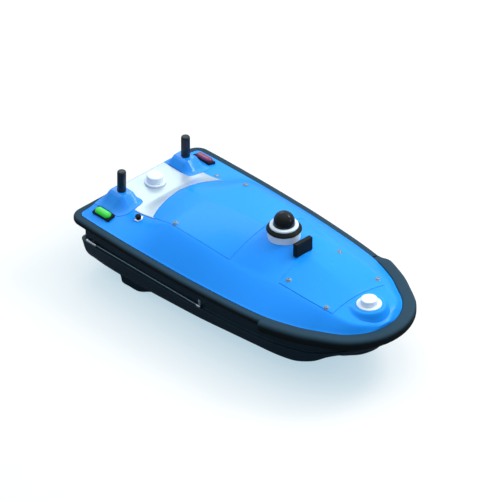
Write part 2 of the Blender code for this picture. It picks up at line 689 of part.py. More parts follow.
# Side rods in the recess above the ledge, with an aft sleeve and a bracket.
RY, RZ = 0.3275, -0.1050
rod = place(cyl(0.003, 0.610, 12), vec(0.100, -RY, RZ), Matrix.Rotation(math.pi / 2, 4, "Y"))
pair("side_rod", rod, STEEL)


def hull_copy(grow):
    """Hull loft grown sideways by a gap, used as a trimming body."""
    rings = []
    for i, x in enumerate(xs_h):
        ring = hull_ring(i, x)
        rings.append([p + Vector((0.0, math.copysign(grow, p.y) if abs(p.y) > 0.02 else 0.0, 0.0))
                      for p in ring])
    return hull_body(rings)


def holder(name, x0, ln, xc):
    """Sleeve round the rod with a block that stands on the ledge."""
    ob = new_obj(name + "_starboard", place(cyl(0.0064, ln, 12), vec(x0, -RY, RZ), XAX), STEEL)
    boolean(ob, solid(place(box(0.012, 0.026, 0.010), vec(xc, -(RY - 0.0090), RZ + 0.001))), "UNION")
    boolean(ob, solid(place(cyl(0.003 + GAP, 1.2, 12), vec(0.0, -RY, RZ), XAX)))
    boolean(ob, solid(hull_copy(GAP)))
    b = bmesh.new()
    b.from_mesh(ob.data)
    c = mirror_y(b)
    b.free()
    new_obj(name + "_port", c, STEEL)


XAX = Matrix.Rotation(math.pi / 2, 4, "Y")
holder("rod_sleeve_aft", 0.060, 0.056, 0.088)
holder("rod_clip_fore", 0.698, 0.020, 0.708)

# Skegs under the sponsons.
KY, KT = 0.272, 0.016
fl = [(0.212, -0.2600), (0.222, -0.2600), (0.300, -0.2600), (0.318, -0.2560)]
tops = [(0.44, spon_z(0.38) + (spon_z(0.48) - spon_z(0.38)) * 0.6), (0.38, spon_z(0.38)),
        (0.28, spon_z(0.28)), (0.196, spon_z(0.18) + (spon_z(0.28) - spon_z(0.18)) * 0.16)]
ring = fl + [(0.36, -0.236)] + [(x, z - GAP) for x, z in tops]
sk = loft([[vec(x, -KY + KT / 2, z) for x, z in ring], [vec(x, -KY - KT / 2, z) for x, z in ring]])
pair("skeg", sk, HULLM)

# Ducted thrusters in the tunnels.
TX, TY, TZ = 0.088, 0.1630, -0.1780
ROOF = -0.108 - GAP
noz = [(0.0495, 0.058), (0.0530, 0.0605), (0.0560, 0.056), (0.0560, 0.010), (0.0530, 0.0), (0.0490, 0.006)]
pod = [(0.0, 0.120), (0.009, 0.117), (0.016, 0.108), (0.019, 0.094), (0.019, 0.006), (0.0165, 0.0),
       (0.0, 0.0)]


def hung(name, body, strut, core):
    """Turned body joined to the strut that hangs it from the tunnel roof."""
    ob = new_obj(name + "_starboard", strut, BLACK)
    if core is not None:
        boolean(ob, solid(core))
    boolean(ob, solid(body), "UNION")
    b = bmesh.new()
    b.from_mesh(ob.data)
    c = mirror_y(b)
    b.free()
    new_obj(name + "_port", c, BLACK)


hung("thruster_nozzle", place(turned("n", noz, None, 28, True), vec(TX - 0.030, -TY, TZ), XAX),
     place(box(0.036, 0.014, 0.018), vec(TX, -TY, ROOF - 0.009)), None)
hung("motor_pod", place(turned("m", pod, None, 20), vec(TX + 0.0194, -TY, TZ), XAX),
     place(box(0.060, 0.012, 0.064), vec(TX + 0.070, -TY, ROOF - 0.032)), None)


def propeller(name, side):
    hub = [(0.0, 0.019), (0.011, 0.019), (0.0125, 0.015), (0.0125, -0.010), (0.009, -0.018), (0.0, -0.022)]
    ob = new_obj(name, turned("h", hub, None, 24), BRONZE)
    for k in range(3):
        rings = []
        for r, ch, tw in ((0.009, 0.019, 58.0), (0.018, 0.023, 44.0), (0.028, 0.026, 33.0),
                          (0.036, 0.023, 27.0), (0.0415, 0.012, 24.0)):
            a = math.radians(tw) * side
            t = 0.0042 * (1.0 - 0.55 * r / 0.042)
            u2, u5, v2 = ch / 2, ch / 5, t / 2
            sec = [(-u2, 0), (-u5, -v2), (u5, -v2), (u2, 0), (u5, v2), (-u5, v2)]
            rings.append([Vector((r, u * math.cos(a) - v * math.sin(a), u * math.sin(a) + v * math.cos(a)))
                          for u, v in sec])
        bl = loft(rings)
        bmesh.ops.rotate(bl, verts=bl.verts, cent=(0, 0, 0), matrix=Matrix.Rotation(TAU * k / 3, 3, "Z"))
        boolean(ob, solid(bl), "UNION")
    b = bmesh.new()
    b.from_mesh(ob.data)
    bmesh.ops.transform(b, matrix=XAX, verts=b.verts)
    bpy.data.objects.remove(ob, do_unlink=True)
    ob = new_obj(name, b, BRONZE)
    ob.location = vec(TX, side * TY, TZ)
    return ob


propeller("propeller_starboard", -1)
propeller("propeller_port", 1)

# Battery, one plain block in the trough of the long compartment.
new_obj("battery_block", place(box(0.30, 0.120, 0.110, 0.003, 1), vec(0.50, 0, -0.2155 + 0.055)), PACK)

bpy.context.view_layer.update()
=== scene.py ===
"""Looks of the survey boat: smooth crowned deck, rubber rail and bumper, lamps, antennas and thrusters.

Metres, +X forward, +Y port, +Z up. Plan positions are counted from the stern rail and heights
from the deck edge, as in the part's source, and mesh() brings them into the row frame.
"""
import math

import bmesh
import bpy
import numpy as np
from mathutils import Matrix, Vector


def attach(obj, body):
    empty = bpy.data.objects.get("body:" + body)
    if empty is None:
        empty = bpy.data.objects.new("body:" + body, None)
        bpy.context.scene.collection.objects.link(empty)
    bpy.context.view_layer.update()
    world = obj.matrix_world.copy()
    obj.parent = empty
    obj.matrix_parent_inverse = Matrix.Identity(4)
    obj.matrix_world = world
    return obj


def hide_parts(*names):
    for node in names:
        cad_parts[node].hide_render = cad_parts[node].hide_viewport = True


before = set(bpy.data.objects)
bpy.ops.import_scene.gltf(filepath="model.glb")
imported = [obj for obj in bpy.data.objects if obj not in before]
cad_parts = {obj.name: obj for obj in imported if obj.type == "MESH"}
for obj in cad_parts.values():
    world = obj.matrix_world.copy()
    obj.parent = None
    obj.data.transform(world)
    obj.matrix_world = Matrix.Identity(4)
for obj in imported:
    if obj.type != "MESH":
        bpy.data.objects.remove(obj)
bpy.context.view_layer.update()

STERN_X = -0.7423
DECK_Z = 0.260
GAP = 0.0003
TAU = 2.0 * math.pi
FORWARD = (1, 0, 0)
SIDES = ((-1.0, "starboard"), (1.0, "port"))
scene = bpy.context.scene


# Camera: a long lens at the photograph's height and bearing.
BEARING, HEIGHT = math.radians(45.9), math.radians(34.6)
PX_PER_M, PICTURE_PX, ORIGIN_PX = 249.0, 500.0, (134.6, 180.1)
FAR, SENSOR_MM = 80.0, 36.0
cos_b, sin_b = math.cos(BEARING), math.sin(BEARING)
cos_h, sin_h = math.cos(HEIGHT), math.sin(HEIGHT)
u0, v0 = ((PICTURE_PX / 2 - p) / PX_PER_M for p in ORIGIN_PX)
aim = Vector((u0 * cos_b + v0 / sin_h * sin_b + STERN_X, u0 * sin_b - v0 / sin_h * cos_b, DECK_Z))
cam_data = bpy.data.cameras.new("view_camera")
cam_data.sensor_width = SENSOR_MM
cam_data.lens = SENSOR_MM * FAR / (PICTURE_PX / PX_PER_M)
cam_data.clip_start, cam_data.clip_end = 1.0, 5.0 * FAR
cam = bpy.data.objects.new("view_camera", cam_data)
scene.collection.objects.link(cam)
back = Vector((cos_h * sin_b, -cos_h * cos_b, sin_h))
cam.location = aim + FAR * back
cam.rotation_euler = back.to_track_quat("Z", "Y").to_euler()
scene.camera = cam


# Shader nodes.
def wire(tree, source, n, key):
    """Feed one input of a node from a socket, or set a constant on it."""
    if isinstance(source, bpy.types.NodeSocket):
        tree.links.new(source, n.inputs[key])
    else:
        n.inputs[key].default_value = source


def node(tree, kind, sockets=None, **settings):
    """New shader node with its settings, and what its inputs are fed."""
    n = tree.nodes.new("ShaderNode" + kind)
    for key, value in settings.items():
        setattr(n, key, value)
    for key, source in (sockets or {}).items():
        wire(tree, source, n, key)
    return n


def calc(tree, operation, *terms, **settings):
    """Math node on sockets and numbers; gives its output."""
    return node(tree, "Math", dict(enumerate(terms)), operation=operation, **settings).outputs[0]


def blend(tree, share, first, second):
    """Mix of two colours; gives its output."""
    return node(tree, "Mix", {0: share, 6: first, 7: second}, data_type="RGBA").outputs[2]


def coords(tree, kind):
    """Texture coordinates of one kind."""
    return node(tree, "TexCoord").outputs[kind]


def noise(tree, **sockets):
    """Noise in the piece's own coordinates; gives its value."""
    return node(tree, "TexNoise", {"Vector": coords(tree, "Object"), **sockets}).outputs["Fac"]


def rgba(colour):
    return (*colour, 1.0)


# Studio: pale sky, five soft boxes and, at the end, a pale floor.
HORIZON, ZENITH, BACKDROP = (0.42, 0.52, 0.58), (1.15, 1.22, 1.28), (0.95, 0.98, 1.0)
BRIGHT_SIDE = (-0.45, 0.89, 0.10)
scene.view_settings.view_transform = "Standard"
world = bpy.data.worlds.new("studio_sky")
scene.world = world
world.use_nodes = True
wt = world.node_tree
sky = wt.nodes["Background"]
direction = coords(wt, "Generated")
split = node(wt, "SeparateXYZ", {0: direction})
fade = node(wt, "ValToRGB", {"Fac": split.outputs["Z"]})
for stop, place, colour in zip(fade.color_ramp.elements, (0.30, 0.95), (HORIZON, ZENITH)):
    stop.position = place
    stop.color = rgba(colour)
toward = node(wt, "VectorMath", {0: direction, 1: BRIGHT_SIDE}, operation="DOT_PRODUCT")
glow = node(wt, "MapRange", {"Value": toward.outputs["Value"], "From Min": -0.6, "From Max": 0.8,
                                       "To Min": 0.72, "To Max": 1.55})
wire(wt, glow.outputs["Result"], sky, "Strength")
wire(wt, fade.outputs["Color"], sky, "Color")
pale = node(wt, "Background", {"Color": rgba(BACKDROP), "Strength": 1.0})
seen = node(wt, "LightPath").outputs["Is Camera Ray"]
either = node(wt, "MixShader", {0: seen, 1: sky.outputs[0], 2: pale.outputs[0]})
wire(wt, either.outputs[0], wt.nodes["World Output"], "Surface")


def soft_box(name, place, size, watts, colour=(0.90, 0.97, 1.0), target=(0, 0, 0.2)):
    """Rectangular area light turned to its target."""
    data = bpy.data.lights.new(name, "AREA")
    data.shape = "RECTANGLE"
    data.size, data.size_y = size
    data.energy = watts
    data.color = colour
    ob = bpy.data.objects.new(name, data)
    scene.collection.objects.link(ob)
    ob.location = place
    ob.rotation_euler = (Vector(place) - Vector(target)).to_track_quat("Z", "Y").to_euler()
    return ob


soft_box("key_box", (1.1, 2.5, 2.9), (2.2, 1.8), 41.0, (1.0, 1.0, 1.0)).visible_glossy = False
soft_box("back_box", (-2.4, 1.2, 2.4), (1.6, 1.2), 8.0, (0.93, 0.97, 1.0))
soft_box("sheen_box", (0.7, 2.1, 2.9), (1.3, 0.7), 7.0)
soft_box("bow_box", (2.6, 1.7, 1.3), (1.0, 0.7), 5.0, target=(0.3, 0, 0.2))
soft_box("facet_box", (0.9, 1.5, 1.9), (0.7, 0.7), 9.0, target=(-0.6, 0, 0.33))


# Shared shading groups.
FLOAT, COLOUR = "NodeSocketFloat", "NodeSocketColor"


def group(name, ins, outs):
    """Empty node group; gives it, its inputs as sockets and its output node."""
    tree = bpy.data.node_groups.new(name, "ShaderNodeTree")
    for label, kind, value in ins:
        tree.interface.new_socket(label, in_out="INPUT", socket_type=kind).default_value = value
    for label, kind in outs:
        tree.interface.new_socket(label, in_out="OUTPUT", socket_type=kind)
    return tree, tree.nodes.new("NodeGroupInput").outputs, tree.nodes.new("NodeGroupOutput")


def moulded_skin():
    """Colour drift, dulled patches and a fine moulded ripple, all from layered noise."""
    t, given, out = group("moulded_skin",
                          (("Colour", COLOUR, (0.5, 0.5, 0.5, 1.0)), ("Drift", FLOAT, 0.06),
                           ("Roughness", FLOAT, 0.3), ("Rub", FLOAT, 0.06), ("Grain Scale", FLOAT, 900.0),
                           ("Grain", FLOAT, 0.2)),
                          (("Colour", COLOUR), ("Roughness", FLOAT), ("Height", FLOAT)))
    cloud = noise(t, Scale=3.2, Detail=5.0)
    drift = calc(t, "MULTIPLY", calc(t, "SUBTRACT", cloud, 0.5), given["Drift"])
    bright = calc(t, "ADD", drift, 1.0)
    light = node(t, "HueSaturation", {"Color": given["Colour"], "Value": bright})
    wire(t, light.outputs["Color"], out, "Colour")
    patches = noise(t, Scale=38.0, Detail=8.0, Roughness=0.7)
    dull = calc(t, "MULTIPLY", calc(t, "SUBTRACT", patches, 0.45), given["Rub"])
    wire(t, calc(t, "ADD", dull, given["Roughness"]), out, "Roughness")
    ripple = noise(t, Scale=given["Grain Scale"], Detail=3.0)
    wire(t, calc(t, "MULTIPLY", ripple, given["Grain"]), out, "Height")
    return t


def edge_wear():
    """Mask of worn edges: pointiness broken up by noise."""
    t, given, out = group("edge_wear", (("Amount", FLOAT, 0.5), ("Scale", FLOAT, 60.0)), (("Mask", FLOAT),))
    edge = node(t, "MapRange", {"Value": node(t, "NewGeometry").outputs["Pointiness"],
                                          "From Min": 0.52, "From Max": 0.62})
    spots = noise(t, Scale=given["Scale"], Detail=6.0)
    mask = calc(t, "MULTIPLY", edge.outputs["Result"], spots)
    wire(t, calc(t, "MULTIPLY", mask, given["Amount"], use_clamp=True), out, "Mask")
    return t


def painted_top_light():
    """Painted light: upward faces lightened towards a second, lit colour and the other faces kept as shade,
    by the surface normal broken up with noise.
    """
    t, given, out = group("painted_top_light", (("Shade", COLOUR, (0.01, 0.01, 0.01, 1.0)),
                                       ("Lit Top", COLOUR, (0.1, 0.1, 0.1, 1.0))), (("Colour", COLOUR),))
    up = node(t, "SeparateXYZ", {0: coords(t, "Normal")}).outputs["Z"]
    facing = calc(t, "MULTIPLY_ADD", noise(t, Scale=14.0, Detail=5.0), 0.25, up)
    fade = node(t, "MapRange", {"Value": facing, "From Min": 0.05, "From Max": 1.0},
                interpolation_type="SMOOTHSTEP")
    wire(t, blend(t, fade.outputs["Result"], given["Shade"], given["Lit Top"]), out, "Colour")
    return t


skin_group, wear_group, top_light_group = moulded_skin(), edge_wear(), painted_top_light()


# Finishes.
RIPPLE_M = 0.0002


def finish(name, slot, colour, rough, metal=0.0, coat=0.0, coat_rough=0.05, drift=0.06, rub=0.06, grain=0.15,
           scale=900.0, worn=None, wear=0.0, gloss=0.5, lit_top=None):
    """A moulded skin; worn is the colour that its edges show. The last argument is painted light: the
    lighter colour that its upward faces take, as if lit from above.
    """
    m = bpy.data.materials.new(name)
    m.use_nodes = True
    t = m.node_tree
    skin = node(t, "Group", node_tree=skin_group)
    for key, value in (("Colour", rgba(colour)), ("Drift", drift), ("Roughness", rough), ("Rub", rub),
                       ("Grain Scale", scale), ("Grain", grain)):
        wire(t, value, skin, key)
    # Painted light: upward faces turned towards the lit colour by their normal, the sides left dark as
    # painted shade.
    if lit_top:
        top = node(t, "Group", node_tree=top_light_group)
        wire(t, rgba(colour), top, "Shade")
        wire(t, rgba(lit_top), top, "Lit Top")
        wire(t, top.outputs["Colour"], skin, "Colour")
    paint = skin.outputs["Colour"]
    if worn:
        edges = node(t, "Group", node_tree=wear_group)
        wire(t, wear, edges, "Amount")
        paint = blend(t, edges.outputs["Mask"], paint, rgba(worn))
    bump = node(t, "Bump",
                {"Distance": RIPPLE_M, "Strength": 1.0, "Height": skin.outputs["Height"]})
    for key, value in (("Base Color", paint), ("Metallic", metal), ("Roughness", skin.outputs["Roughness"]),
                       ("Normal", bump.outputs["Normal"]), ("Specular IOR Level", gloss),
                       ("Coat Weight", coat), ("Coat Roughness", coat_rough)):
        wire(t, value, t.nodes["Principled BSDF"], key)
    return m


BLUE = (0.0080, 0.300, 0.990)
gelcoat = dict(coat_rough=0.08, drift=0.05, grain=0.08, worn=(0.06, 0.38, 1.0), wear=0.35)
DECK = finish("deck_gelcoat", "deck_blue", BLUE, 0.28, coat=0.06, gloss=0.16, **gelcoat)
FAIRING = finish("fairing_gelcoat", "deck_blue", BLUE, 0.17, coat=0.10, gloss=0.50, **gelcoat)
# Hull and rubber: the last colour of each is painted light on their upward faces, their near-black sides
# painted shade.
HULL = finish("hull_gelcoat", "hull_dark", (0.0060, 0.0180, 0.0310), 0.42, coat=0.03, coat_rough=0.25,
              drift=0.3, rub=0.12, gloss=0.18, worn=(0.03, 0.06, 0.08), wear=0.3,
              lit_top=(0.014, 0.034, 0.048))
SLATE = finish("slate_rubber", "slate_rubber", (0.0030, 0.0060, 0.0065), 0.60, drift=0.15, rub=0.14,
               grain=0.5, scale=1600.0, gloss=0.10, worn=(0.02, 0.045, 0.06), wear=0.3,
               lit_top=(0.021, 0.052, 0.078))
PALE = finish("pale_plate", "pale_plate", (0.56, 0.64, 0.70), 0.34, metal=0.55, drift=0.10, rub=0.14,
              grain=0.1, gloss=0.3)
MATT = finish("matt_black", "black_plastic", (0.0060, 0.0075, 0.0060), 0.46, drift=0.2, rub=0.12, grain=0.6,
              scale=2200.0, gloss=0.15)
ANTENNA = finish("antenna_sleeve", "black_plastic", (0.007, 0.012, 0.017), 0.34, coat=0.1, drift=0.2,
                 grain=0.3, gloss=0.3)
WHITE = finish("white_shell", "white_plastic", (0.77, 0.85, 0.95), 0.42, drift=0.03, grain=0.2, scale=1800.0,
               gloss=0.2)
DOME = finish("smoked_dome", "gloss_black", (0.003, 0.004, 0.005), 0.14, coat=0.10, drift=0.1,
              rub=0.03, grain=0.02, gloss=0.20)
STEEL = finish("bright_steel", "stainless", (0.62, 0.63, 0.66), 0.22, metal=1.0, drift=0.08, rub=0.12,
               grain=0.2)
SCREW = finish("dull_steel", "stainless", (0.27, 0.35, 0.40), 0.36, metal=0.75, drift=0.15, rub=0.14,
               grain=0.3, worn=(0.45, 0.52, 0.56), wear=0.5)
BRONZE = finish("cast_bronze", "bronze", (0.42, 0.25, 0.09), 0.34, metal=1.0, drift=0.25, rub=0.18,
                grain=0.4, scale=700.0)
SEAL = finish("seal_rubber", "seal_rubber", (0.010, 0.010, 0.010), 0.75, drift=0.2, grain=0.5)
PACK = finish("battery_case", "battery_grey", (0.085, 0.088, 0.095), 0.5, drift=0.1, grain=0.5, scale=1500.0)


def glow_lens(name, colour, strength):
    """Clear coloured lens with fine moulded ribs and a little light of its own."""
    m = finish(name, name, colour, 0.16, coat=0.5, coat_rough=0.04, drift=0.15, rub=0.05, grain=0.0)
    t = m.node_tree
    b = t.nodes["Principled BSDF"]
    ribs = node(t, "TexWave", {"Vector": coords(t, "Object"), "Scale": 110.0}, bands_direction="X")
    between = [0.75 * c for c in colour]
    wire(t, blend(t, ribs.outputs["Fac"], rgba(between), rgba(colour)), b, "Emission Color")
    wire(t, strength, b, "Emission Strength")
    return m


GREEN = glow_lens("green_lens", (0.014, 0.62, 0.020), 0.12)
RED = glow_lens("red_lens", (0.20, 0.010, 0.070), 0.08)


# Surfaces: points on a grid, made a mesh as whole arrays.
def unit(v):
    return np.clip(v, 0.0, 1.0)


def around(count):
    """Angles all round, the first at nought."""
    return np.linspace(0.0, TAU, count, endpoint=False)


def columns(*parts):
    """Parts side by side; a single number fills its column."""
    return np.column_stack([v if np.ndim(v) else np.full(len(parts[0]), v) for v in parts])


def joined(*parts):
    return np.concatenate(parts)


def unit_vector(v):
    v = np.array(v, float)
    return v / np.linalg.norm(v)


def ease(t):
    """Smooth step from nought to one."""
    return t * t * (3 - 2 * t)


def ramp(*parts):
    """Stations from (start, stop, count) runs without repeats."""
    out = [np.linspace(a, b, n, endpoint=False) for a, b, n in parts]
    return np.concatenate(out + [[parts[-1][1]]])


def grid_faces(rows, cols, wrap_rows=False, wrap_cols=False, keep=None):
    """Quads of a grid, numbered row by row; keep masks the cells."""
    i, j = np.meshgrid(np.arange(rows if wrap_rows else rows - 1),
                       np.arange(cols if wrap_cols else cols - 1), indexing="ij")
    i2, j2 = (i + 1) % rows, (j + 1) % cols
    quads = np.stack([i * cols + j, i2 * cols + j, i2 * cols + j2, i * cols + j2], axis=-1)
    return quads[keep] if keep is not None else quads.reshape(-1, 4)


def tube_faces(rows, cols):
    """Quads of a grid closed round its columns, then a face over its first and its last ring."""
    ring = np.arange(cols)
    return [*grid_faces(rows, cols, wrap_cols=True), ring[::-1], ring + (rows - 1) * cols]


def mesh(name, points, faces, weld):
    """Mesh in the row frame with its faces turned outwards; weld merges doubles."""
    me = bpy.data.meshes.new(name)
    placed = np.asarray(points, float) + np.array([STERN_X, 0.0, DECK_Z])
    me.from_pydata(placed.reshape(-1, 3).tolist(), [], [list(map(int, f)) for f in faces])
    bm = bmesh.new()
    bm.from_mesh(me)
    if weld:
        bmesh.ops.remove_doubles(bm, verts=bm.verts, dist=2e-6)
        bmesh.ops.dissolve_degenerate(bm, edges=bm.edges, dist=1e-7)
    bmesh.ops.recalc_face_normals(bm, faces=bm.faces)
    bm.to_mesh(me)
    bm.free()
    return me


def shade(me, sharp):
    """Smooth shading, with the edges over the sharp angle kept."""
    me.shade_smooth()
    me.set_sharp_from_angle(angle=math.radians(sharp))


def linked(name, me):
    ob = bpy.data.objects.new(name, me)
    scene.collection.objects.link(ob)
    return ob


def piece(name, points, faces, material, body="boat", stands_for=None, sharp=40.0):
    """One piece of the boat, riding on its body, dressed in its finish."""
    me = mesh(name, points, faces, True)
    shade(me, sharp)
    me.materials.append(material)
    ob = linked(name, me)
    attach(ob, body)
    if stands_for:
        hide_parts(stands_for)
    return ob


def tube(name, rings, material, **kw):
    """Piece of rings side by side, with a face at each end."""
    return piece(name, rings, tube_faces(*np.shape(rings)[:2]), material, **kw)


def monotone(xs, ys):
    """Piecewise cubic through the knots that never overshoots, for arrays."""
    xs, ys = np.array(xs, float), np.array(ys, float)
    d = np.diff(ys) / np.diff(xs)
    before, after = d[:-1], d[1:]
    mean = np.where(before * after > 0, 2 * before * after / (before + after + 1e-300), 0.0)
    m = joined([d[0]], mean, [d[-1]])

    def f(x):
        x = np.clip(x, xs[0], xs[-1])
        i = np.clip(np.searchsorted(xs, x, side="right") - 1, 0, len(xs) - 2)
        h = xs[i + 1] - xs[i]
        t = (x - xs[i]) / h
        return ((2 * t**3 - 3 * t**2 + 1) * ys[i] + (t**3 - 2 * t**2 + t) * h * m[i]
                + (-2 * t**3 + 3 * t**2) * ys[i + 1] + (t**3 - t**2) * h * m[i + 1])
    return f


# Lines of the deck: half breadth, knee and ridge.
STERN_END, BOW_END = 0.018, 1.4448
CORNER_X, CORNER_Y, CORNER_R = 0.046, 0.332, 0.028
NOSE_FROM, NOSE_X, NOSE_R = 1.36, 1.2245, 0.2205
side_line = monotone([CORNER_X, 0.15, 0.38, 0.61, 0.83, 1.04, 1.21, 1.30, 1.335, NOSE_FROM],
                     [CORNER_Y, 0.3356, 0.3384, 0.3356, 0.3244, 0.304, 0.2555, 0.2093, 0.1898, 0.1738])
knee_y = monotone([STERN_END, 0.20, 0.30, 0.44, 0.60, 0.76, 1.01, 1.15, 1.25, 1.29, 1.36, 1.40, 1.44],
                  [0.165, 0.168, 0.187, 0.209, 0.214, 0.209, 0.1765, 0.169, 0.157, 0.146, 0.128, 0.100,
                   0.030])
knee_z = monotone([STERN_END, 0.034, 0.20, 0.30, 0.44, 0.60, 0.76, 1.01, 1.20, 1.25, 1.29, 1.36, 1.40, 1.44],
                  [0.016, 0.046, 0.046, 0.056, 0.096, 0.098, 0.088, 0.083, 0.072, 0.066, 0.057, 0.045,
                   0.036, 0.018])
ridge_z = monotone([STERN_END, 0.034, 0.20, 0.27, 0.33, 0.45, 0.74, 0.80, 0.86, 0.90, 0.94, 0.98, 1.04,
                    1.16, 1.25, 1.29, 1.36, 1.40, 1.44],
                   [0.016, 0.046, 0.046, 0.086, 0.106, 0.125, 0.155, 0.164, 0.168, 0.163, 0.144, 0.128,
                    0.119, 0.098, 0.077, 0.065, 0.052, 0.042, 0.020])
EDGE_LIFT, SIDE_BEND = 0.004, 1.18
SWELL, SWELL_X, SWELL_LONG, SWELL_WIDE = 0.012, 0.890, 0.045, 0.075


def edge_y(x):
    """Half breadth: a corner arc, the side line, then the round nose."""
    corner = CORNER_Y - CORNER_R + np.sqrt(np.clip(CORNER_R**2 - (CORNER_X - x) ** 2, 0.0, None))
    nose = np.sqrt(np.clip(NOSE_R**2 - (x - NOSE_X) ** 2, 1e-8, None))
    return np.where(x < CORNER_X, corner, np.where(x > NOSE_FROM, nose, side_line(x)))


def raw_crown(x, y):
    """Deck height before the knee is softened: a roof up to the knee, then a side that falls to the edge."""
    y = np.abs(y)
    ky, kz, rz, ey = knee_y(x), knee_z(x), ridge_z(x), edge_y(x)
    ky = np.minimum(ky, 0.8 * ey)
    t = y / ky
    inner = rz + (kz - rz) * (0.50 * t + 0.50 * t * t)
    s = unit((y - ky) / (ey - ky))
    return np.where(y <= ky, inner, kz * (1.0 - s**SIDE_BEND) + EDGE_LIFT * s)


def crown(x, y):
    """Deck height: the raw roof averaged over a narrow band across, with a low swell under the camera."""
    x, y = np.broadcast_arrays(np.asarray(x, float), np.asarray(y, float))
    shift = np.array([-0.009, -0.0055, -0.002, 0.002, 0.0055, 0.009])
    weight = np.array([0.10, 0.18, 0.22, 0.22, 0.18, 0.10])
    swell = SWELL * np.exp(-((x - SWELL_X) / SWELL_LONG) ** 2 - (y / SWELL_WIDE) ** 2)
    return swell + sum(w * raw_crown(x, y + d) for w, d in zip(weight, shift))


# Deck, hatches and plate.
SEAM, SEAT, LAND, COVER, DECK_FLOOR = 0.0013, 0.0085, 0.016, 0.005, -0.0047
LONG_X, FRONT_X = (0.300, 0.763), (1.011, 1.290)
AFT_ARC, FRONT_ARC, FORE_ARC, TAIL = 0.038, 0.020, 0.012, 0.016


def hatch_y(x):
    """Half width of the hatch openings: the knee line, carried on to the bow."""
    end = FRONT_X[1]
    bow = knee_y(end) * unit((BOW_END - x) / (BOW_END - end)) ** 0.6
    return np.minimum(np.where(x < end, knee_y(x), bow), 0.72 * edge_y(x))


def hat(x, low, mid, high):
    """Smooth bump: nought at low and high, one at mid."""
    return ease(unit(np.where(x < mid, (x - low) / (mid - low), (high - x) / (high - mid))))


def plan(x, s):
    """Plan point for base station x and side parameter s, with the rows bowed to the hatch arcs.

    s is 0 in the middle, 0.5 at the side of a hatch and 1 at the deck edge, and negative to starboard.
    """
    x, s = np.broadcast_arrays(np.asarray(x, float), np.asarray(s, float))
    inner = unit(np.abs(s) / 0.5)
    bow = AFT_ARC * hat(x, 0.10, LONG_X[0], 0.52) + FRONT_ARC * hat(x, 0.88, FRONT_X[0], 1.15)
    bow += FORE_ARC * hat(x, 1.15, FRONT_X[1], 1.40)
    px = x - bow * (1.0 - inner**2)
    hy, ey = hatch_y(x), edge_y(x)
    py = np.sign(s) * (inner * hy + unit((np.abs(s) - 0.5) / 0.5) * (ey - hy))
    return px, py


def loop_of(rows, cols):
    """Perimeter of a rows by cols grid as flat numbers, one way round."""
    i = joined(np.zeros(cols - 1, int), np.arange(rows - 1), np.full(cols - 1, rows - 1),
               np.arange(rows - 1, 0, -1))
    j = joined(np.arange(cols - 1), np.full(rows - 1, cols - 1), np.arange(cols - 1, 0, -1),
               np.zeros(rows - 1, int))
    return i, j


def outward(loop):
    """Unit normals in plan of a closed loop, pointing out of it."""
    t = np.roll(loop, -1, 0) - np.roll(loop, 1, 0)
    n = np.stack([t[:, 1], -t[:, 0]], -1)
    n /= np.linalg.norm(n, axis=1)[:, None] + 1e-12
    area = np.sum(loop[:, 0] * np.roll(loop[:, 1], -1) - np.roll(loop[:, 0], -1) * loop[:, 1])
    return n if area > 0 else -n


def rim_of(px, py):
    """Perimeter of a plan grid: its index arrays, points and outward normals."""
    i, j = loop_of(*px.shape)
    rim = np.stack([px[i, j], py[i, j]], -1)
    return i, j, rim, outward(rim)


def on_crown(p, up):
    """Plan points set on the deck, raised by up."""
    return columns(p, crown(p[:, 0], p[:, 1]) + up)


def slab(name, px, py, lift, thick, round_r, material, **kw):
    """Sheet that follows the crown over a plan grid: top, rounded rim, straight edge, underside."""
    rows, cols = px.shape
    i, j, rim, n = rim_of(px, py)
    qx, qy = px.copy(), py.copy()
    qx[i, j], qy[i, j] = (rim - round_r * n).T
    top = np.stack([qx, qy, crown(qx, qy) + lift], -1).reshape(-1, 3)
    low = np.stack([qx, qy, crown(qx, qy) + lift - thick], -1).reshape(-1, 3)
    loops = []
    for a in np.radians((0.0, 30.0, 60.0, 90.0)):
        loops.append(on_crown(rim - round_r * (1 - math.sin(a)) * n, lift - round_r * (1 - math.cos(a))))
    loops.append(on_crown(rim, lift - thick + 0.0006))
    loops.append(on_crown(rim - round_r * n, lift - thick))
    quads = grid_faces(rows, cols)
    faces = joined(quads, quads + rows * cols,
                   grid_faces(len(loops), len(rim), wrap_cols=True) + 2 * rows * cols)
    return piece(name, np.concatenate([top, low] + loops), faces, material, **kw)


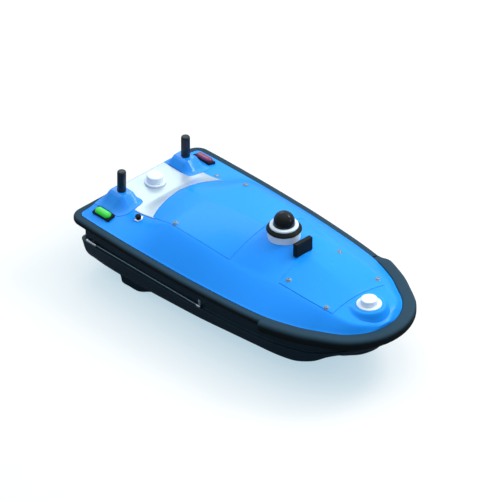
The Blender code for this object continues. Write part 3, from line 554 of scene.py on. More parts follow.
def deck_shell():
    """Deck as one closed skin: crowned top, coamings down the hatch rims, flat underside."""
    base = ramp((STERN_END, 0.0205, 5), (0.0205, CORNER_X, 22), (CORNER_X, LONG_X[0], 60), (*LONG_X, 74),
                (LONG_X[1], FRONT_X[0], 52), (*FRONT_X, 48), (FRONT_X[1], 1.40, 30), (1.40, BOW_END, 26))
    half = ramp((0.0, 0.42, 20), (0.42, 0.5, 7), (0.5, 0.60, 9), (0.60, 0.96, 18), (0.96, 1.0, 4))
    s = joined(-half[:0:-1], half)
    px, py = plan(base[:, None], s[None, :])
    rows, cols = px.shape
    j1, j2 = int(np.argmin(np.abs(s + 0.5))), int(np.argmin(np.abs(s - 0.5)))
    keep = np.ones((rows - 1, cols - 1), bool)
    top = np.stack([px, py, crown(px, py)], -1).reshape(-1, 3)
    lx, ly = px.copy(), py.copy()
    rims = []
    for xa, xb in (LONG_X, FRONT_X):
        a, b = int(np.argmin(np.abs(base - xa))), int(np.argmin(np.abs(base - xb)))
        keep[a:b, j1:j2] = False
        i, j, rim, n = rim_of(px[a:b + 1, j1:j2 + 1], py[a:b + 1, j1:j2 + 1])
        rims.append((rim, n))
        lx[i + a, j + j1], ly[i + a, j + j1] = (rim - LAND * n).T
    low = np.stack([lx, ly, np.full(lx.shape, DECK_FLOOR)], -1).reshape(-1, 3)
    quads = grid_faces(rows, cols, keep=keep)
    pts, faces, count = [top, low], [quads, quads + rows * cols], 2 * rows * cols
    i, j = loop_of(rows, cols)
    ring = i * cols + j
    nxt = np.roll(ring, -1)
    faces.append(np.stack([ring, nxt, nxt + rows * cols, ring + rows * cols], -1))
    for rim, n in rims:
        loops = [on_crown(rim - inset * n, -drop)
                 for inset, drop in ((0.0, 0.0), (0.0004, 0.0002), (0.0008, 0.0008), (0.001, 0.0018),
                                     (0.001, SEAT), (LAND - 0.001, SEAT), (LAND, SEAT + 0.001))]
        loops.append(columns(rim - LAND * n, DECK_FLOOR))
        pts += loops
        faces.append(grid_faces(len(loops), len(rim), wrap_cols=True) + count)
        count += len(loops) * len(rim)
    return piece("deck_shell", np.concatenate(pts), np.concatenate(faces), DECK, stands_for="deck_moulding",
                 sharp=50.0)


def cover(name, span, cuts, node_name, body, lift):
    """Hatch cover over one opening, set in by the seam; lift is also the radius of its rim."""
    x = np.linspace(*span, cuts[0])
    s = ramp((-0.5, -0.42, 5), (-0.42, 0.42, cuts[1]), (0.42, 0.5, 5))
    px, py = plan(x[:, None], s[None, :])
    i, j, rim, n = rim_of(px, py)
    px[i, j], py[i, j] = (rim - SEAM * n).T
    return slab(name, px, py, lift, COVER + lift, lift, DECK, body=body, stands_for=node_name, sharp=50.0)


def plate_sheet():
    """Pale plate: rows from the stern to the hatch arc, as wide as the fairings leave, with pointed arms."""
    x = ramp((0.036, 0.162, 16), (0.162, 0.198, 26), (0.198, 0.2965, 24))
    wide = np.interp(x, [0.036, 0.160, 0.172, 0.1835, 0.1885, 0.1925, 0.1945, 0.1962, 0.2965],
                     [0.1245, 0.1245, 0.1264, 0.1325, 0.1430, 0.1600, 0.1830, 0.1925, 0.1920])
    py = wide[:, None] * np.linspace(-1.0, 1.0, 61)[None, :]
    out, x = np.abs(py), x[:, None]
    px = x - AFT_ARC * (1.0 - unit(out / 0.187) ** 2) * unit((x - 0.197) / 0.0995) ** 1.3
    px = px + TAIL * unit((out - 0.1865) / 0.0055) * unit((x - 0.250) / 0.0465)
    return slab("plate_sheet", px, py, 0.003, 0.0026, 0.0009, PALE, stands_for="stern_plate", sharp=50.0)


deck_shell()
cover("long_cover", LONG_X, (74, 44), "long_hatch_cover", "long_lid", 0.0010)
cover("front_cover", FRONT_X, (48, 40), "front_hatch_cover", "front_lid", 0.0022)
plate_sheet()


# Things turned on a lathe.
def turned(name, profile, place, material, axis=(0.0, 0.0, 1.0), count=64, outline=1.0, **kw):
    """Profile (radius, height) swept round an axis through place; outline scales the radius by angle."""
    prof = np.array(profile, float)
    a, axis = around(count)[:, None], unit_vector(axis)
    side = unit_vector(np.cross(axis, (0, 1, 0) if abs(axis[1]) < 0.9 else FORWARD))
    ring = (np.cos(a) * side + np.sin(a) * np.cross(axis, side)) * np.reshape(outline, (-1, 1))
    pts = np.asarray(place) + prof[:, None, 0:1] * ring[None] + prof[:, None, 1:2] * axis
    closed = prof[0, 0] > 1e-6
    return piece(name, pts, grid_faces(len(prof), count, wrap_rows=closed, wrap_cols=True), material, **kw)


def fillet(points, radii, steps=5):
    """Profile with its corners rounded by quadratic arcs."""
    p = np.array(points, float)
    out = [p[0]]
    for k in range(1, len(p) - 1):
        r = radii[k] if k < len(radii) else 0.0
        a, b = p[k - 1] - p[k], p[k + 1] - p[k]
        la, lb = np.linalg.norm(a), np.linalg.norm(b)
        if r <= 0:
            out.append(p[k])
            continue
        if min(la, lb) < 1e-7:
            out += [p[k]] * steps
            continue
        e = min(r, 0.48 * la, 0.48 * lb)
        p0, p2 = p[k] + a / la * e, p[k] + b / lb * e
        for t in np.linspace(0, 1, steps):
            out.append((1 - t) ** 2 * p0 + 2 * t * (1 - t) * p[k] + t * t * p2)
    out.append(p[-1])
    return np.array(out)


def lean(x, y):
    """Unit normal of the deck at a plan point."""
    e = 0.004
    dx = (crown(x + e, y) - crown(x - e, y)) / (2 * e)
    dy = (crown(x, y + e) - crown(x, y - e)) / (2 * e)
    return unit_vector([-dx, -dy, 1.0])


def on_deck(x, y, up=0.0):
    """Point over the deck, up along its normal."""
    return np.array([x, y, float(crown(x, y))]) + up * lean(x, y)


# Antennas.
FAIR_TOP, WHIP_X, WHIP_Y, WHIP_R, WHIP_TALL = 0.0900, 0.108, 0.1785, 0.0185, 0.0945
BOW_X, BOW_TOP, PUCK_R = 1.350, 0.0658, 0.0345
for side, tag in SIDES:
    prof = fillet([(0, WHIP_TALL), (WHIP_R, WHIP_TALL), (WHIP_R, 0.0), (0.0165, 0.0), (0, 0.0)],
                  [0, 0.017, 0.001, 0], 10)
    groove = [(WHIP_R, 0.012), (0.0179, 0.0112), (0.0179, 0.0102), (WHIP_R, 0.0094)]
    turned("whip_" + tag, joined(prof[:11], groove, prof[11:]),
           (WHIP_X, side * WHIP_Y, FAIR_TOP + GAP), ANTENNA, stands_for="whip_antenna_" + tag)

for tag, x, r, soft, low, high, top, tall in (
        ("stern", 0.116, 0.044, 0.0016, 0.0500, 0.0575, 0.0865, 0.0285),
        ("bow", BOW_X, 0.0515, 0.0014, BOW_TOP, 0.0703, 0.0941, 0.0234)):
    turned(tag + "_flange", fillet([(0, high), (r, high), (r, low), (0, low)], [0, soft, 0]), (x, 0, 0),
           WHITE, stands_for=tag + "_position_flange")
    puck = [(0, 0.0), (0.0318, 0.0), (PUCK_R, -0.0028), (PUCK_R, -tall), (0, -tall)]
    turned(tag + "_puck", fillet(puck, [0, 0.004, 0.003, 0.001, 0], 8), (x, 0, top), WHITE,
           stands_for=tag + "_position_antenna")


# Camera: foot, skirt and collar, then the dome.
CAMERA_X, BULB_R, BULB_Z = 0.862, 0.0438, 0.2267
for name, prof, radii, material, node_name in (
        ("camera_foot", [(0, 0.1870), (0.067, 0.1870), (0.067, 0.170), (0.0655, 0.128), (0, 0.128)],
         [0, 0.002, 0.004, 0], WHITE, "camera_base"),
        ("camera_skirt", [(0, 0.2055), (0.0605, 0.2055), (0.0725, 0.1945), (0.0725, 0.1905),
                          (0.0695, 0.1873), (0, 0.1873)],
         [0, 0.003, 0.003, 0.002, 0.001, 0], MATT, "camera_lower_ring"),
        ("camera_collar", [(0, 0.2145), (0.0560, 0.2145), (0.0590, 0.2115), (0.0590, 0.2058), (0, 0.2058)],
         [0, 0.002, 0.002, 0.001, 0], WHITE, "camera_upper_ring")):
    turned(name, fillet(prof, radii), (CAMERA_X, 0, 0), material, count=96, stands_for=node_name)
arc = np.radians(np.linspace(0, 90, 28))
bulb = columns(BULB_R * np.sin(arc), BULB_Z + BULB_R * np.cos(arc))
bulb = joined(bulb, [(BULB_R, 0.2168), (0.0446, 0.2160), (0.0446, 0.2148), (0, 0.2148)])
turned("camera_bulb", bulb, (CAMERA_X, 0, 0), DOME, count=96, stands_for="camera_dome")


# Boxes with rounded corners and rims: lamps and radar.
def rounded_box(name, size, radius, centre, material, tilt=None, plan_r=None, dome=None, **kw):
    """Box with rounded corners and rims; dome gives the top rim its own (inset, rise) arc."""
    hx, hy, hz = (d / 2 for d in size)
    rp = plan_r or radius
    quarter = np.radians(np.linspace(0, 90, 9))
    loop = []
    for k, (cx, cy) in enumerate(((hx, hy), (-hx, hy), (-hx, -hy), (hx, -hy))):
        ang = quarter + k * math.pi / 2
        loop.append(columns(np.sign(cx) * (abs(cx) - rp) + rp * np.cos(ang),
                            np.sign(cy) * (abs(cy) - rp) + rp * np.sin(ang)))
    loop = np.concatenate(loop)
    core = columns(np.sign(loop[:, 0]) * (hx - rp), np.sign(loop[:, 1]) * (hy - rp))
    rings = []
    for sgn, (inset, rise) in ((-1, (radius, radius)), (1, dome or (radius, radius))):
        for b in np.radians(np.linspace(90, 0, 9))[::-sgn]:
            scale = 1.0 - inset / rp * (1.0 - math.cos(b))
            z = sgn * (hz - rise + rise * math.sin(b))
            rings.append(columns(core + (loop - core) * scale, z))
    rings = np.array(rings)
    if tilt is not None:
        n = unit_vector(tilt)
        ax = unit_vector(FORWARD - n * n[0])
        rings = rings[..., 0:1] * ax + rings[..., 1:2] * np.cross(n, ax) + rings[..., 2:3] * n
    return tube(name, rings + np.asarray(centre), material, **kw)


LAMP_X, LAMP_Y = 0.109, 0.280
for (side, tag), glass in zip(SIDES, (GREEN, RED)):
    spot = (LAMP_X, side * LAMP_Y)
    n = lean(*spot)
    rounded_box("lamp_base_" + tag, (0.094, 0.040, 0.018), 0.0025, on_deck(*spot, 0.0015), MATT, n,
                stands_for="nav_light_base_" + tag)
    rounded_box("lamp_lens_" + tag, (0.080, 0.034, 0.0125), 0.0005, on_deck(*spot, 0.0170), glass, n,
                plan_r=0.0165, dome=(0.0140, 0.0105), stands_for="nav_lens_" + tag)

rounded_box("radar_case", (0.022, 0.092, 0.0625), 0.0045, (0.970, 0, 0.1560), MATT, stands_for="radar_box")


# Outline of the deck, port half from the stern corner round to the bow's middle.
def half_outline():
    """Plan points along the deck edge and their outward normals."""
    a = np.radians(np.linspace(0, 90, 12))
    corner = columns(CORNER_X - CORNER_R * np.cos(a), CORNER_Y - CORNER_R + CORNER_R * np.sin(a))
    x = ramp((0.062, 0.30, 14), (0.30, 1.00, 36), (1.00, 1.355, 34))
    f = np.radians(np.linspace(52.0, 0.0, 30))
    nose = columns(NOSE_X + NOSE_R * np.cos(f), NOSE_R * np.sin(f))
    p = joined(corner, columns(x, side_line(x)), nose)
    n = joined(columns(-np.cos(a), np.sin(a)),
               columns(-slope_at(x, 1e-4), np.ones_like(x)),
               columns(np.cos(f), np.sin(f)))
    return p, n / np.linalg.norm(n, axis=1)[:, None]


def slope_at(x, e):
    """Slope of the side line, read over e on each side of x."""
    return (side_line(x + e) - side_line(x - e)) / (2 * e)


EDGE, EDGE_N = half_outline()


# Hull: lines, sections and wells.
spon_z = monotone([0.0, 0.05, 0.18, 0.60, 1.00, 1.15, 1.24, 1.30, 1.35, 1.44],
                  [-0.196, -0.207, -0.214, -0.201, -0.186, -0.190, -0.168, -0.132, -0.108, -0.080])
keel_z = monotone([0.0, 0.05, 1.10, 1.21, 1.27, 1.324, 1.39, 1.42, 1.44],
                  [-0.252, -0.260, -0.260, -0.246, -0.218, -0.188, -0.134, -0.098, -0.070])
roof_z = monotone([0.0, 0.040, 0.066, 1.10, 1.30, 1.44], [-0.124, -0.124, -0.108, -0.108, -0.096, -0.066])
mid_y = monotone([0.0, 0.90, 1.15, 1.30, 1.40, 1.44], [0.092, 0.095, 0.082, 0.058, 0.034, 0.018])
LEDGE, RECESS, RAKE, HULL_TOP = -0.112, 0.015, 0.22, -0.005
TRANSOM_BY = 0.05
ledge_z = monotone([0.0, 1.22, 1.30, 1.36, 1.44], [LEDGE, LEDGE, -0.102, -0.082, -0.060])


def hull_section(x, ey):
    """Half section at one station: centre hull, tunnel, sponson, ledge, recess band, flange."""
    sz, kz, rz, lo = float(spon_z(x)), float(keel_z(x)), float(roof_z(x)), float(ledge_z(x))
    my = min(float(mid_y(x)), 0.42 * ey)
    k = min(1.0, max(0.0, (rz - sz) / 0.09))
    yi = min(0.232, 0.70 * ey)
    rec = RECESS if ey > 0.06 else 0.25 * ey
    inner = 0.15 if x > TRANSOM_BY else 0.01
    s = ey - 0.002
    top = min(-0.046, 0.42 * lo)
    knuckle = rz + 0.62 * (sz - rz)
    pts = [(0.0, kz), (0.30 * my, kz + 0.002), (0.72 * my, kz + 0.14 * (rz - kz)),
           (my, kz + 0.55 * (rz - kz)), (my + 0.006 * k, rz - 0.010), (my + 0.012 * k, rz),
           (max(yi - 0.014, my + 0.012 * k), rz), (yi, rz + inner * (sz - rz)), (yi + 0.006, knuckle),
           (yi + 0.024 * k + 0.002, sz), (yi + (s - yi) * 0.62, sz), (yi + (s - yi) * 0.90, knuckle),
           (s, lo - 0.007), (ey, lo - 0.003), (ey, lo), (ey - rec, lo + 0.001), (ey - rec, top),
           (ey, top + 0.005), (ey, HULL_TOP)]
    if ey < 0.02:
        pts = [(min(y, ey), z) for y, z in pts]
    radii = [0, 0.01, 0.03, 0.03, 0.008, 0.006, 0.012, 0.010, 0.02, 0.014, 0.03, 0.03, 0.004, 0.0015, 0.0015,
             0.005, 0.005, 0.002, 0]
    marks = joined([0], np.cumsum([5 if r > 0 else 1 for r in radii]))
    return fillet(pts, radii), marks


def hull_body():
    """Hull lofted through the stations; the recess wraps the stern corner and the transom."""
    rows = []
    for (x, ey), n in zip(EDGE, EDGE_N):
        sec, marks = hull_section(x, max(ey, 1e-4))
        y, z = sec.T
        inset = ey - y
        w = unit((z - LEDGE + 0.013) / 0.004) * (1.0 if x < TRANSOM_BY else 0.0) * (y > 0.25)
        px = x - inset * n[0] * w
        py = y * (1 - w) + (ey - inset * n[1]) * w
        low = (y > 0.2315) & (w < 0.5)
        aft = max(0.0, 1.0 - (x - STERN_END) / 0.10)
        px = px + low * RAKE * np.clip(LEDGE - 0.009 - z, 0, None) * aft
        rows.append(columns(px, py, z))
    half = np.array(rows)
    m = half.shape[1]
    ring = np.concatenate([half, half[:, ::-1] * np.array([1.0, -1.0, 1.0])], axis=1)
    count = ring.shape[1]
    roof, inside, side = int(marks[6]) - 1, int(marks[7]) + 2, int(marks[12])
    strip = [[j, j + 1, count - 2 - j, count - 1 - j] for j in range(side, m - 1)]
    caps = [[*range(roof + 1), *range(count - 1 - roof, count)], range(inside, side + 1),
            range(count - 1 - side, count - inside),
            [*range(roof, inside + 1), side, count - 1 - side, *range(count - 1 - inside, count - roof)]]
    return ring, [*grid_faces(len(rows), count, wrap_cols=True), *strip, *caps]


def carve(ob, rings):
    """Cut a closed tube out of a piece with a Boolean, applied at once."""
    tool = linked("cutter", mesh("cutter", rings, tube_faces(*rings.shape[:2]), False))
    md = ob.modifiers.new("carve", "BOOLEAN")
    md.solver, md.operation, md.object = "EXACT", "DIFFERENCE", tool
    dg = bpy.context.evaluated_depsgraph_get()
    me = bpy.data.meshes.new_from_object(ob.evaluated_get(dg))
    ob.modifiers.clear()
    ob.data = me
    bpy.data.objects.remove(tool, do_unlink=True)
    shade(me, 40.0)


def prism(span, inset, z0, z1):
    """Upright prism over a hatch opening, its plan moved in by inset."""
    x, s = np.linspace(*span, 24), np.linspace(-0.5, 0.5, 25)
    i, j, rim, n = rim_of(*plan(x[:, None], s[None, :]))
    loop = rim - inset * n
    return np.array([columns(loop, z) for z in (z0, z1)])


def trough(x0, x1, half_floor):
    """Lower well in the centre hull."""
    rings = []
    for x in np.linspace(x0, x1, 5):
        kz, my, rz = float(keel_z(x)) + 0.008, float(mid_y(x)) - 0.008, float(roof_z(x)) + 0.004
        r = [(0.28 * half_floor, kz), (0.62 * my, kz + 0.17 * (rz - kz)),
             (my - 0.001, kz + 0.56 * (rz - kz)), (my, rz + 0.032)]
        rings.append([(x, y, z) for y, z in r] + [(x, -y, z) for y, z in reversed(r)])
    return np.array(rings)


hull = piece("hull_body", *hull_body(), HULL, stands_for="hull_moulding")
for span, floor, room in ((LONG_X, -0.096, (0.32, 0.735, 0.09)), (FRONT_X, -0.084, (1.035, 1.20, 0.07))):
    carve(hull, prism(span, LAND, floor, 0.05))
    carve(hull, trough(*room))


# Rail and bumper along the deck edge.
def carried(name, path, normals, z, profile, **kw):
    """Profile (out, up) carried at height z along an open plan path, at each point's normal."""
    profile = np.broadcast_to(profile, (len(path),) + profile.shape[-2:])
    flat = path[:, None, :] + profile[..., 0:1] * normals[:, None, :]
    return tube(name, np.concatenate([flat, z + profile[..., 1:2]], axis=-1), SLATE, **kw)


def round_rect(w, h, radii, steps):
    """Rounded rectangle a gap off the edge, counter-clockwise from lower right, with its corner radii."""
    out = []
    corners = ((w / 2, -h / 2), (w / 2, h / 2), (-w / 2, h / 2), (-w / 2, -h / 2))
    for (cx, cy), r, a0 in zip(corners, radii, (-90, 0, 90, 180)):
        ax, ay = cx - np.sign(cx) * r, cy - np.sign(cy) * r
        for a in np.radians(np.linspace(a0, a0 + 90, steps)):
            out.append((ax + r * math.cos(a), ay + r * math.sin(a)))
    return np.array(out) + (GAP + w / 2, 0.0)


def mirrored(v):
    """Plan points or normals of the port half, run backwards on the starboard side."""
    return v[::-1] * (1, -1)


RAIL_W, RAIL_H, RAIL_Z, RAIL_END = 0.0327, 0.032, -0.012, 1.058
BUMP_W, BUMP_H, BUMP_Z, BUMP_START = 0.057, 0.054, -0.017, 1.060
SOFT_RUN, BLUNT_RUN = 0.060, 0.010
slope = float(slope_at(RAIL_END, 5e-4))
join_n = np.array([-slope, 1.0]) / math.hypot(slope, 1.0)
near = EDGE[:, 0] < RAIL_END
port = np.vstack([EDGE[near], [RAIL_END, side_line(RAIL_END)]])
port_n = np.vstack([EDGE_N[near], join_n])
path, normals = (joined(mirrored(v), v) for v in (port, port_n))
prof = round_rect(RAIL_W, RAIL_H, (0.014, 0.013, 0.004, 0.003), 8)
carried("side_rail", path, normals, RAIL_Z, prof, stands_for="rub_rail")

fore = EDGE[:, 0] > BUMP_START + 0.002
port = np.vstack([[BUMP_START, side_line(BUMP_START)], EDGE[fore]])
port_n = np.vstack([join_n, EDGE_N[fore]])
path, normals = (joined(v, mirrored(v)[1:]) for v in (port, port_n))
prof = round_rect(BUMP_W, BUMP_H, (0.023, 0.018, 0.008, 0.006), 9)
run = joined([0.0], np.cumsum(np.linalg.norm(np.diff(path, axis=0), axis=1)))
blunt = unit((run[-1] - run) / BLUNT_RUN)
grow = (0.66 + 0.34 * ease(unit(run / SOFT_RUN))) * (0.88 + 0.12 * np.sqrt(1 - (1 - blunt) ** 2))
shaped = np.stack([columns(GAP + (prof[:, 0] - GAP) * g, prof[:, 1] * g) for g in grow])
carried("bow_roll", path, normals, BUMP_Z, shaped, stands_for="bow_bumper")


# Fairings under the whip antennas, by the distance from the middle line.
HORN_Y = [0.1262, 0.136, 0.147, 0.158, 0.199, 0.212, 0.226, 0.242, 0.257]
horn_aft, horn_rise, horn_top, horn_edge, horn_foot = (monotone(HORN_Y, line) for line in (
    [0.052, 0.046, 0.042, 0.040, 0.036, 0.034, 0.033, 0.031, 0.030],
    [0.080, 0.076, 0.074, 0.072, 0.072, 0.074, 0.076, 0.080, 0.084],
    [0.056, 0.072, 0.085, FAIR_TOP, FAIR_TOP, 0.083, 0.066, 0.046, 0.032],
    [0.116, 0.128, 0.138, 0.143, 0.139, 0.134, 0.128, 0.120, 0.110],
    [0.166, 0.183, 0.188, 0.190, 0.190, 0.189, 0.186, 0.178, 0.160]))


def horn(side, tag):
    """Fairing in slices across: S-curve up from the stern, flat top, sloped front facet, flared foot."""
    u = np.linspace(0.0, 1.0, 13)
    down = np.interp(u, [0.0, 0.04, 0.70, 0.86, 1.0], [1.0, 0.975, 0.16, 0.05, 0.0])
    slices = []
    for y in ramp((HORN_Y[0], 0.160, 18), (0.160, 0.197, 8), (0.197, HORN_Y[-1], 26)):
        xa, xt, zt, xe, xf = (float(f(y)) for f in (horn_aft, horn_rise, horn_top, horn_edge, horn_foot))
        za, zf = float(crown(xa, y)) + 0.003, float(crown(xf, y)) + 0.002
        x = [[xa], xa + (xt - xa) * u, xt + (xe - xt) * u[1:-1], xe + (xf - xe) * u, [xf]]
        z = [[za - 0.012], za + (zt - za) * ease(u), np.full(11, zt), zf + (zt - zf) * down, [zf - 0.012]]
        x, z = np.concatenate(x), np.concatenate(z)
        slices.append(columns(x, side * y, z))
    tube("horn_" + tag, slices, FAIRING, sharp=24.0, stands_for="stern_fairing_" + tag)


for side, tag in SIDES:
    horn(side, tag)


def bow_boss():
    """Round boss under the bow antenna, cut short aft, that rises in an S-curve from the deck."""
    a = around(96)
    c, s = np.cos(a), np.sin(a)
    rad = 1.0 / np.sqrt((c / np.where(c > 0, 0.080, 0.088)) ** 2 + (s / 0.088) ** 2)
    rad = np.minimum(rad, np.where(c < -0.05, 0.0555 / np.maximum(-c, 0.05), 1.0))
    reach = np.clip((rad - 0.0660) / rad, 0.06, 0.9)
    centre, sink = np.array([BOW_X, 0.0]), 0.003
    outline = columns(BOW_X + rad * c, rad * s)
    foot = on_crown(outline, -sink)
    rows = [columns(outline * 0 + centre, foot[:, 2].min()), foot]
    for v in np.linspace(0, 1, 26):
        p = centre + (outline - centre) * (1 - v)
        f = ease(unit(v / reach))
        rows.append(columns(p, crown(p[:, 0], p[:, 1]) * (1 - f) + BOW_TOP * f))
    piece("bow_boss_mound", np.array(rows), grid_faces(len(rows), len(a), wrap_cols=True), DECK,
          stands_for="bow_boss", sharp=60.0)


bow_boss()


# Screws, switch and cap.
def screw(name, x, y, node_name, body):
    """Domed captive screw with a ring step and a drive recess."""
    prof = fillet([(0, 0.0052), (0.0026, 0.0052), (0.0034, 0.0086), (0.0066, 0.0080), (0.0092, 0.0054),
                   (0.0098, 0.0026), (0.0118, 0.0018), (0.0118, 0.0), (0.0, 0.0)],
                  [0, 0.0006, 0.0008, 0.002, 0.001, 0.0005, 0.0004, 0.0004, 0], 4)
    turned(name, prof, on_deck(x, y, 0.0012), SCREW, axis=lean(x, y), count=40, body=body,
           stands_for=node_name)


for side, tag in SIDES:
    screw("long_screw_" + tag, 0.439, side * 0.1955, "long_hatch_screw_" + tag, "long_lid")
    screw("fore_screw_a_" + tag, 1.035, side * 0.141, "front_hatch_screw_aft_" + tag, "front_lid")
    screw("fore_screw_b_" + tag, 1.252, side * 0.143, "front_hatch_screw_fore_" + tag, "front_lid")

SWITCH_X, SWITCH_Y = 0.249, 0.218
NUT_FLAT_R, NUT_TIP_R, NUT_TALL = 0.0175, 0.0198, 0.004
n = lean(SWITCH_X, -SWITCH_Y)
hexa = np.minimum(NUT_FLAT_R / np.cos((around(72) % (TAU / 6)) - TAU / 12), NUT_TIP_R)
turned("switch_hex", [(0, NUT_TALL), (0.90, NUT_TALL), (1, 0.0030), (1, 0), (0, 0)],
       on_deck(SWITCH_X, -SWITCH_Y), STEEL, axis=n, count=72, outline=hexa, stands_for="switch_nut",
       sharp=30.0)
turned("switch_button", fillet([(0, 0.0140), (0.0096, 0.0140), (0.0120, 0.0115), (0.0116, 0.0), (0, 0.0)],
                               [0, 0.002, 0.002, 0.0008, 0]),
       on_deck(SWITCH_X, -SWITCH_Y, NUT_TALL + GAP), MATT, axis=n, count=48, stands_for="switch_knob")
turned("port_cap", fillet([(0, 0.0068), (0.0064, 0.0062), (0.0104, 0.0014), (0.0104, -0.003), (0, -0.003)],
                          [0, 0.003, 0.002, 0, 0]),
       on_deck(SWITCH_X, SWITCH_Y), SCREW, axis=lean(SWITCH_X, SWITCH_Y), count=48,
       stands_for="deck_cap_port")


# Side rods, each with a sleeve aft and a clip, its plate and bolt fore.
ROD_X, ROD_Y, ROD_Z, ROD_LONG = 0.100, 0.3275, -0.1050, 0.606
ROD_R, SLEEVE_R, BORE_R, CLIP_X = 0.0024, 0.0064, 0.0033, 0.703
for side, tag in SIDES:
    y = side * ROD_Y
    turned("rod_" + tag, fillet([(0, ROD_LONG), (ROD_R, ROD_LONG), (ROD_R, 0.0), (0, 0.0)],
                                [0, 0.0008, 0.0008, 0], 4),
           (ROD_X, y, ROD_Z), SCREW, axis=FORWARD, count=24, stands_for="side_rod_" + tag)
    rounded_box("clip_plate_" + tag, (0.013, 0.005, 0.030), 0.0012, (CLIP_X, side * 0.3180, -0.0960), SCREW)
    turned("clip_bolt_" + tag, fillet([(0, 0.0035), (0.0032, 0.0035), (0.0036, 0.0), (0, 0.0)],
                                      [0, 0.001, 0.0004, 0], 4),
           (CLIP_X, side * 0.3202, -0.0870), STEEL, axis=(0, side, 0), count=24)
    for label, x0, ln, node_name in (("sleeve_", 0.060, 0.056, "rod_sleeve_aft_"),
                                     ("clip_", 0.698, 0.020, "rod_clip_fore_")):
        turned(label + tag, fillet([(BORE_R, ln), (SLEEVE_R, ln), (SLEEVE_R, 0.0), (BORE_R, 0.0)],
                                   [0, 0.001, 0.001, 0], 4),
               (x0, y, ROD_Z), STEEL, axis=FORWARD, count=32, stands_for=node_name + tag)
        rounded_box(label + "block_" + tag, (0.012, 0.016, 0.009), 0.0015,
                    (x0 + ln / 2, side * (ROD_Y - 0.0085), ROD_Z + 0.001), STEEL)


# Skegs: plates with rounded edges under the sponsons.
def smooth_loop(points, count):
    """Closed Catmull-Rom curve through the points."""
    p = np.array(points, float)
    n = len(p)
    t = np.linspace(0, n, count, endpoint=False)
    i = t.astype(int)
    f = (t - i)[:, None]
    a, b, c, d = p[(i - 1) % n], p[i % n], p[(i + 1) % n], p[(i + 2) % n]
    return 0.5 * (2 * b + (c - a) * f + (2 * a - 5 * b + 4 * c - d) * f**2 + (3 * b - a - 3 * c + d) * f**3)


SKEG_Y, SKEG_TOP, SKEG_FOOT = 0.272, -0.2100, -0.2600
for side, tag in SIDES:
    loop = smooth_loop([(0.200, -0.2045), (0.205, -0.236), (0.216, -0.2592), (0.260, SKEG_FOOT),
                        (0.300, -0.2598), (0.330, -0.2500), (0.370, -0.2300), (0.420, -0.2095),
                        (0.436, -0.2045), (0.32, -0.2040)], 80)
    rings = []
    for inset, v in ((0.0055, -0.008), (0.002, -0.0072), (0.0, -0.0045), (0.0, 0.0045), (0.002, 0.0072),
                     (0.0055, 0.008)):
        x, z = (loop - inset * outward(loop)).T
        rings.append(columns(x, side * SKEG_Y + v, np.clip(z, SKEG_FOOT, SKEG_TOP)))
    tube("skeg_fin_" + tag, rings, HULL, stands_for="skeg_" + tag)


# Thrusters: ring nozzle, pod and a three-bladed screw on each side.
THR_X, THR_Y, THR_Z, ROOF = 0.088, 0.1630, -0.1780, -0.1083
HUB_R, BLADE_LONG, BLADES = 0.0100, 0.0315, 3
noz = fillet([(0.0495, 0.058), (0.0530, 0.0605), (0.0560, 0.056), (0.0560, 0.010), (0.0530, 0.0),
              (0.0490, 0.006), (0.0490, 0.030)], [0, 0.004, 0.004, 0.01, 0.003, 0.004, 0], 6)
pod = fillet([(0, 0.120), (0.009, 0.117), (0.016, 0.108), (0.019, 0.094), (0.019, 0.006), (0.0165, 0.0),
              (0, 0.0)], [0, 0.004, 0.008, 0.01, 0.003, 0.002, 0], 6)
hub = fillet([(0, 0.019), (0.011, 0.019), (0.0125, 0.015), (0.0125, -0.010), (0.009, -0.018), (0, -0.022)],
             [0, 0.002, 0.003, 0.006, 0.004, 0], 6)


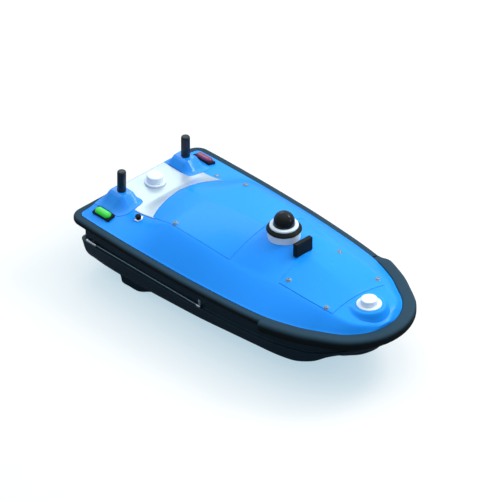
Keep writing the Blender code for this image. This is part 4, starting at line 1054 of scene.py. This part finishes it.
def blades(side):
    """Twisted blades: chord, pitch and thickness as functions of the radius."""
    u = np.linspace(0.0, 1.0, 20)
    r = HUB_R + BLADE_LONG * u
    chord = 0.020 + 0.007 * np.sin(math.pi * np.minimum(u / 0.62, 1.0) / 2)
    chord = chord - 0.016 * unit(u - 0.6) ** 1.3 / 0.3
    twist = np.radians(58.0 - 34.0 * u**0.8)[:, None] * side
    thick = 0.0040 * (1 - 0.6 * u)
    v = around(28)
    cx, cy = np.cos(v), np.sin(v)
    camber = 0.10 * (1 - cx**2)
    a = chord[:, None] / 2 * cx[None]
    b = thick[:, None] / 2 * cy[None] * (1 + 0.35 * cx[None]) + chord[:, None] * camber[None] * 0.5
    along = a * np.sin(twist) + b * np.cos(twist)
    across = a * np.cos(twist) - b * np.sin(twist)
    out = np.broadcast_to(r[:, None], a.shape)
    pts, faces = [], []
    for q in range(BLADES):
        c, s = math.cos(TAU * q / BLADES), math.sin(TAU * q / BLADES)
        pts.append(np.stack([along, across * c - out * s, across * s + out * c], -1).reshape(-1, 3))
        faces += [f + q * a.size for f in tube_faces(*a.shape)]
    return np.concatenate(pts), faces


for side, tag in SIDES:
    y = side * THR_Y
    spin = "screw_" + tag
    turned("nozzle_ring_" + tag, noz, (THR_X - 0.030, y, THR_Z), MATT, axis=FORWARD, count=80,
           stands_for="thruster_nozzle_" + tag)
    rounded_box("nozzle_neck_" + tag, (0.036, 0.014, 0.015), 0.003, (THR_X, y, ROOF - 0.0075), MATT)
    turned("motor_body_" + tag, pod, (THR_X + 0.0194, y, THR_Z), MATT, axis=FORWARD, count=56,
           stands_for="motor_pod_" + tag)
    rounded_box("motor_fin_" + tag, (0.060, 0.012, 0.060), 0.0055, (THR_X + 0.070, y, ROOF - 0.030), MATT)
    pts, faces = blades(side)
    piece("screw_blades_" + tag, pts + (THR_X, y, THR_Z), faces, BRONZE, body=spin)
    turned("screw_hub_" + tag, hub, (THR_X, y, THR_Z), BRONZE, axis=FORWARD, count=48, body=spin,
           stands_for="propeller_" + tag)


# Solids kept from the row take their finish.
for name, material in (("long_hatch_seal", SEAL), ("front_hatch_seal", SEAL), ("battery_block", PACK)):
    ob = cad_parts[name]
    for k in range(len(ob.material_slots)):
        ob.material_slots[k].material = material


# Floor, which the camera sees paler than the boat does.
FLOOR_R = 9
floor_me = bpy.data.meshes.new("studio_floor")
floor_me.from_pydata([(x * FLOOR_R, y * FLOOR_R, 0) for x, y in ((-1, -1), (1, -1), (1, 1), (-1, 1))], [],
                     [(0, 1, 2, 3)])
floor = linked("studio_floor", floor_me)
fm = bpy.data.materials.new("pale_floor")
fm.use_nodes = True
ft = fm.node_tree
seen = node(ft, "LightPath").outputs["Is Camera Ray"]
for key, value in (("Base Color", blend(ft, seen, (0.20, 0.24, 0.28, 1.0), (0.50, 0.36, 0.28, 1.0))),
                   ("Roughness", 0.9), ("Specular IOR Level", 0.0),
                   ("Emission Color", (0.62, 0.84, 0.97, 1.0)),
                   ("Emission Strength", calc(ft, "MULTIPLY", seen, 0.72))):
    wire(ft, value, ft.nodes["Principled BSDF"], key)
floor_me.materials.append(fm)
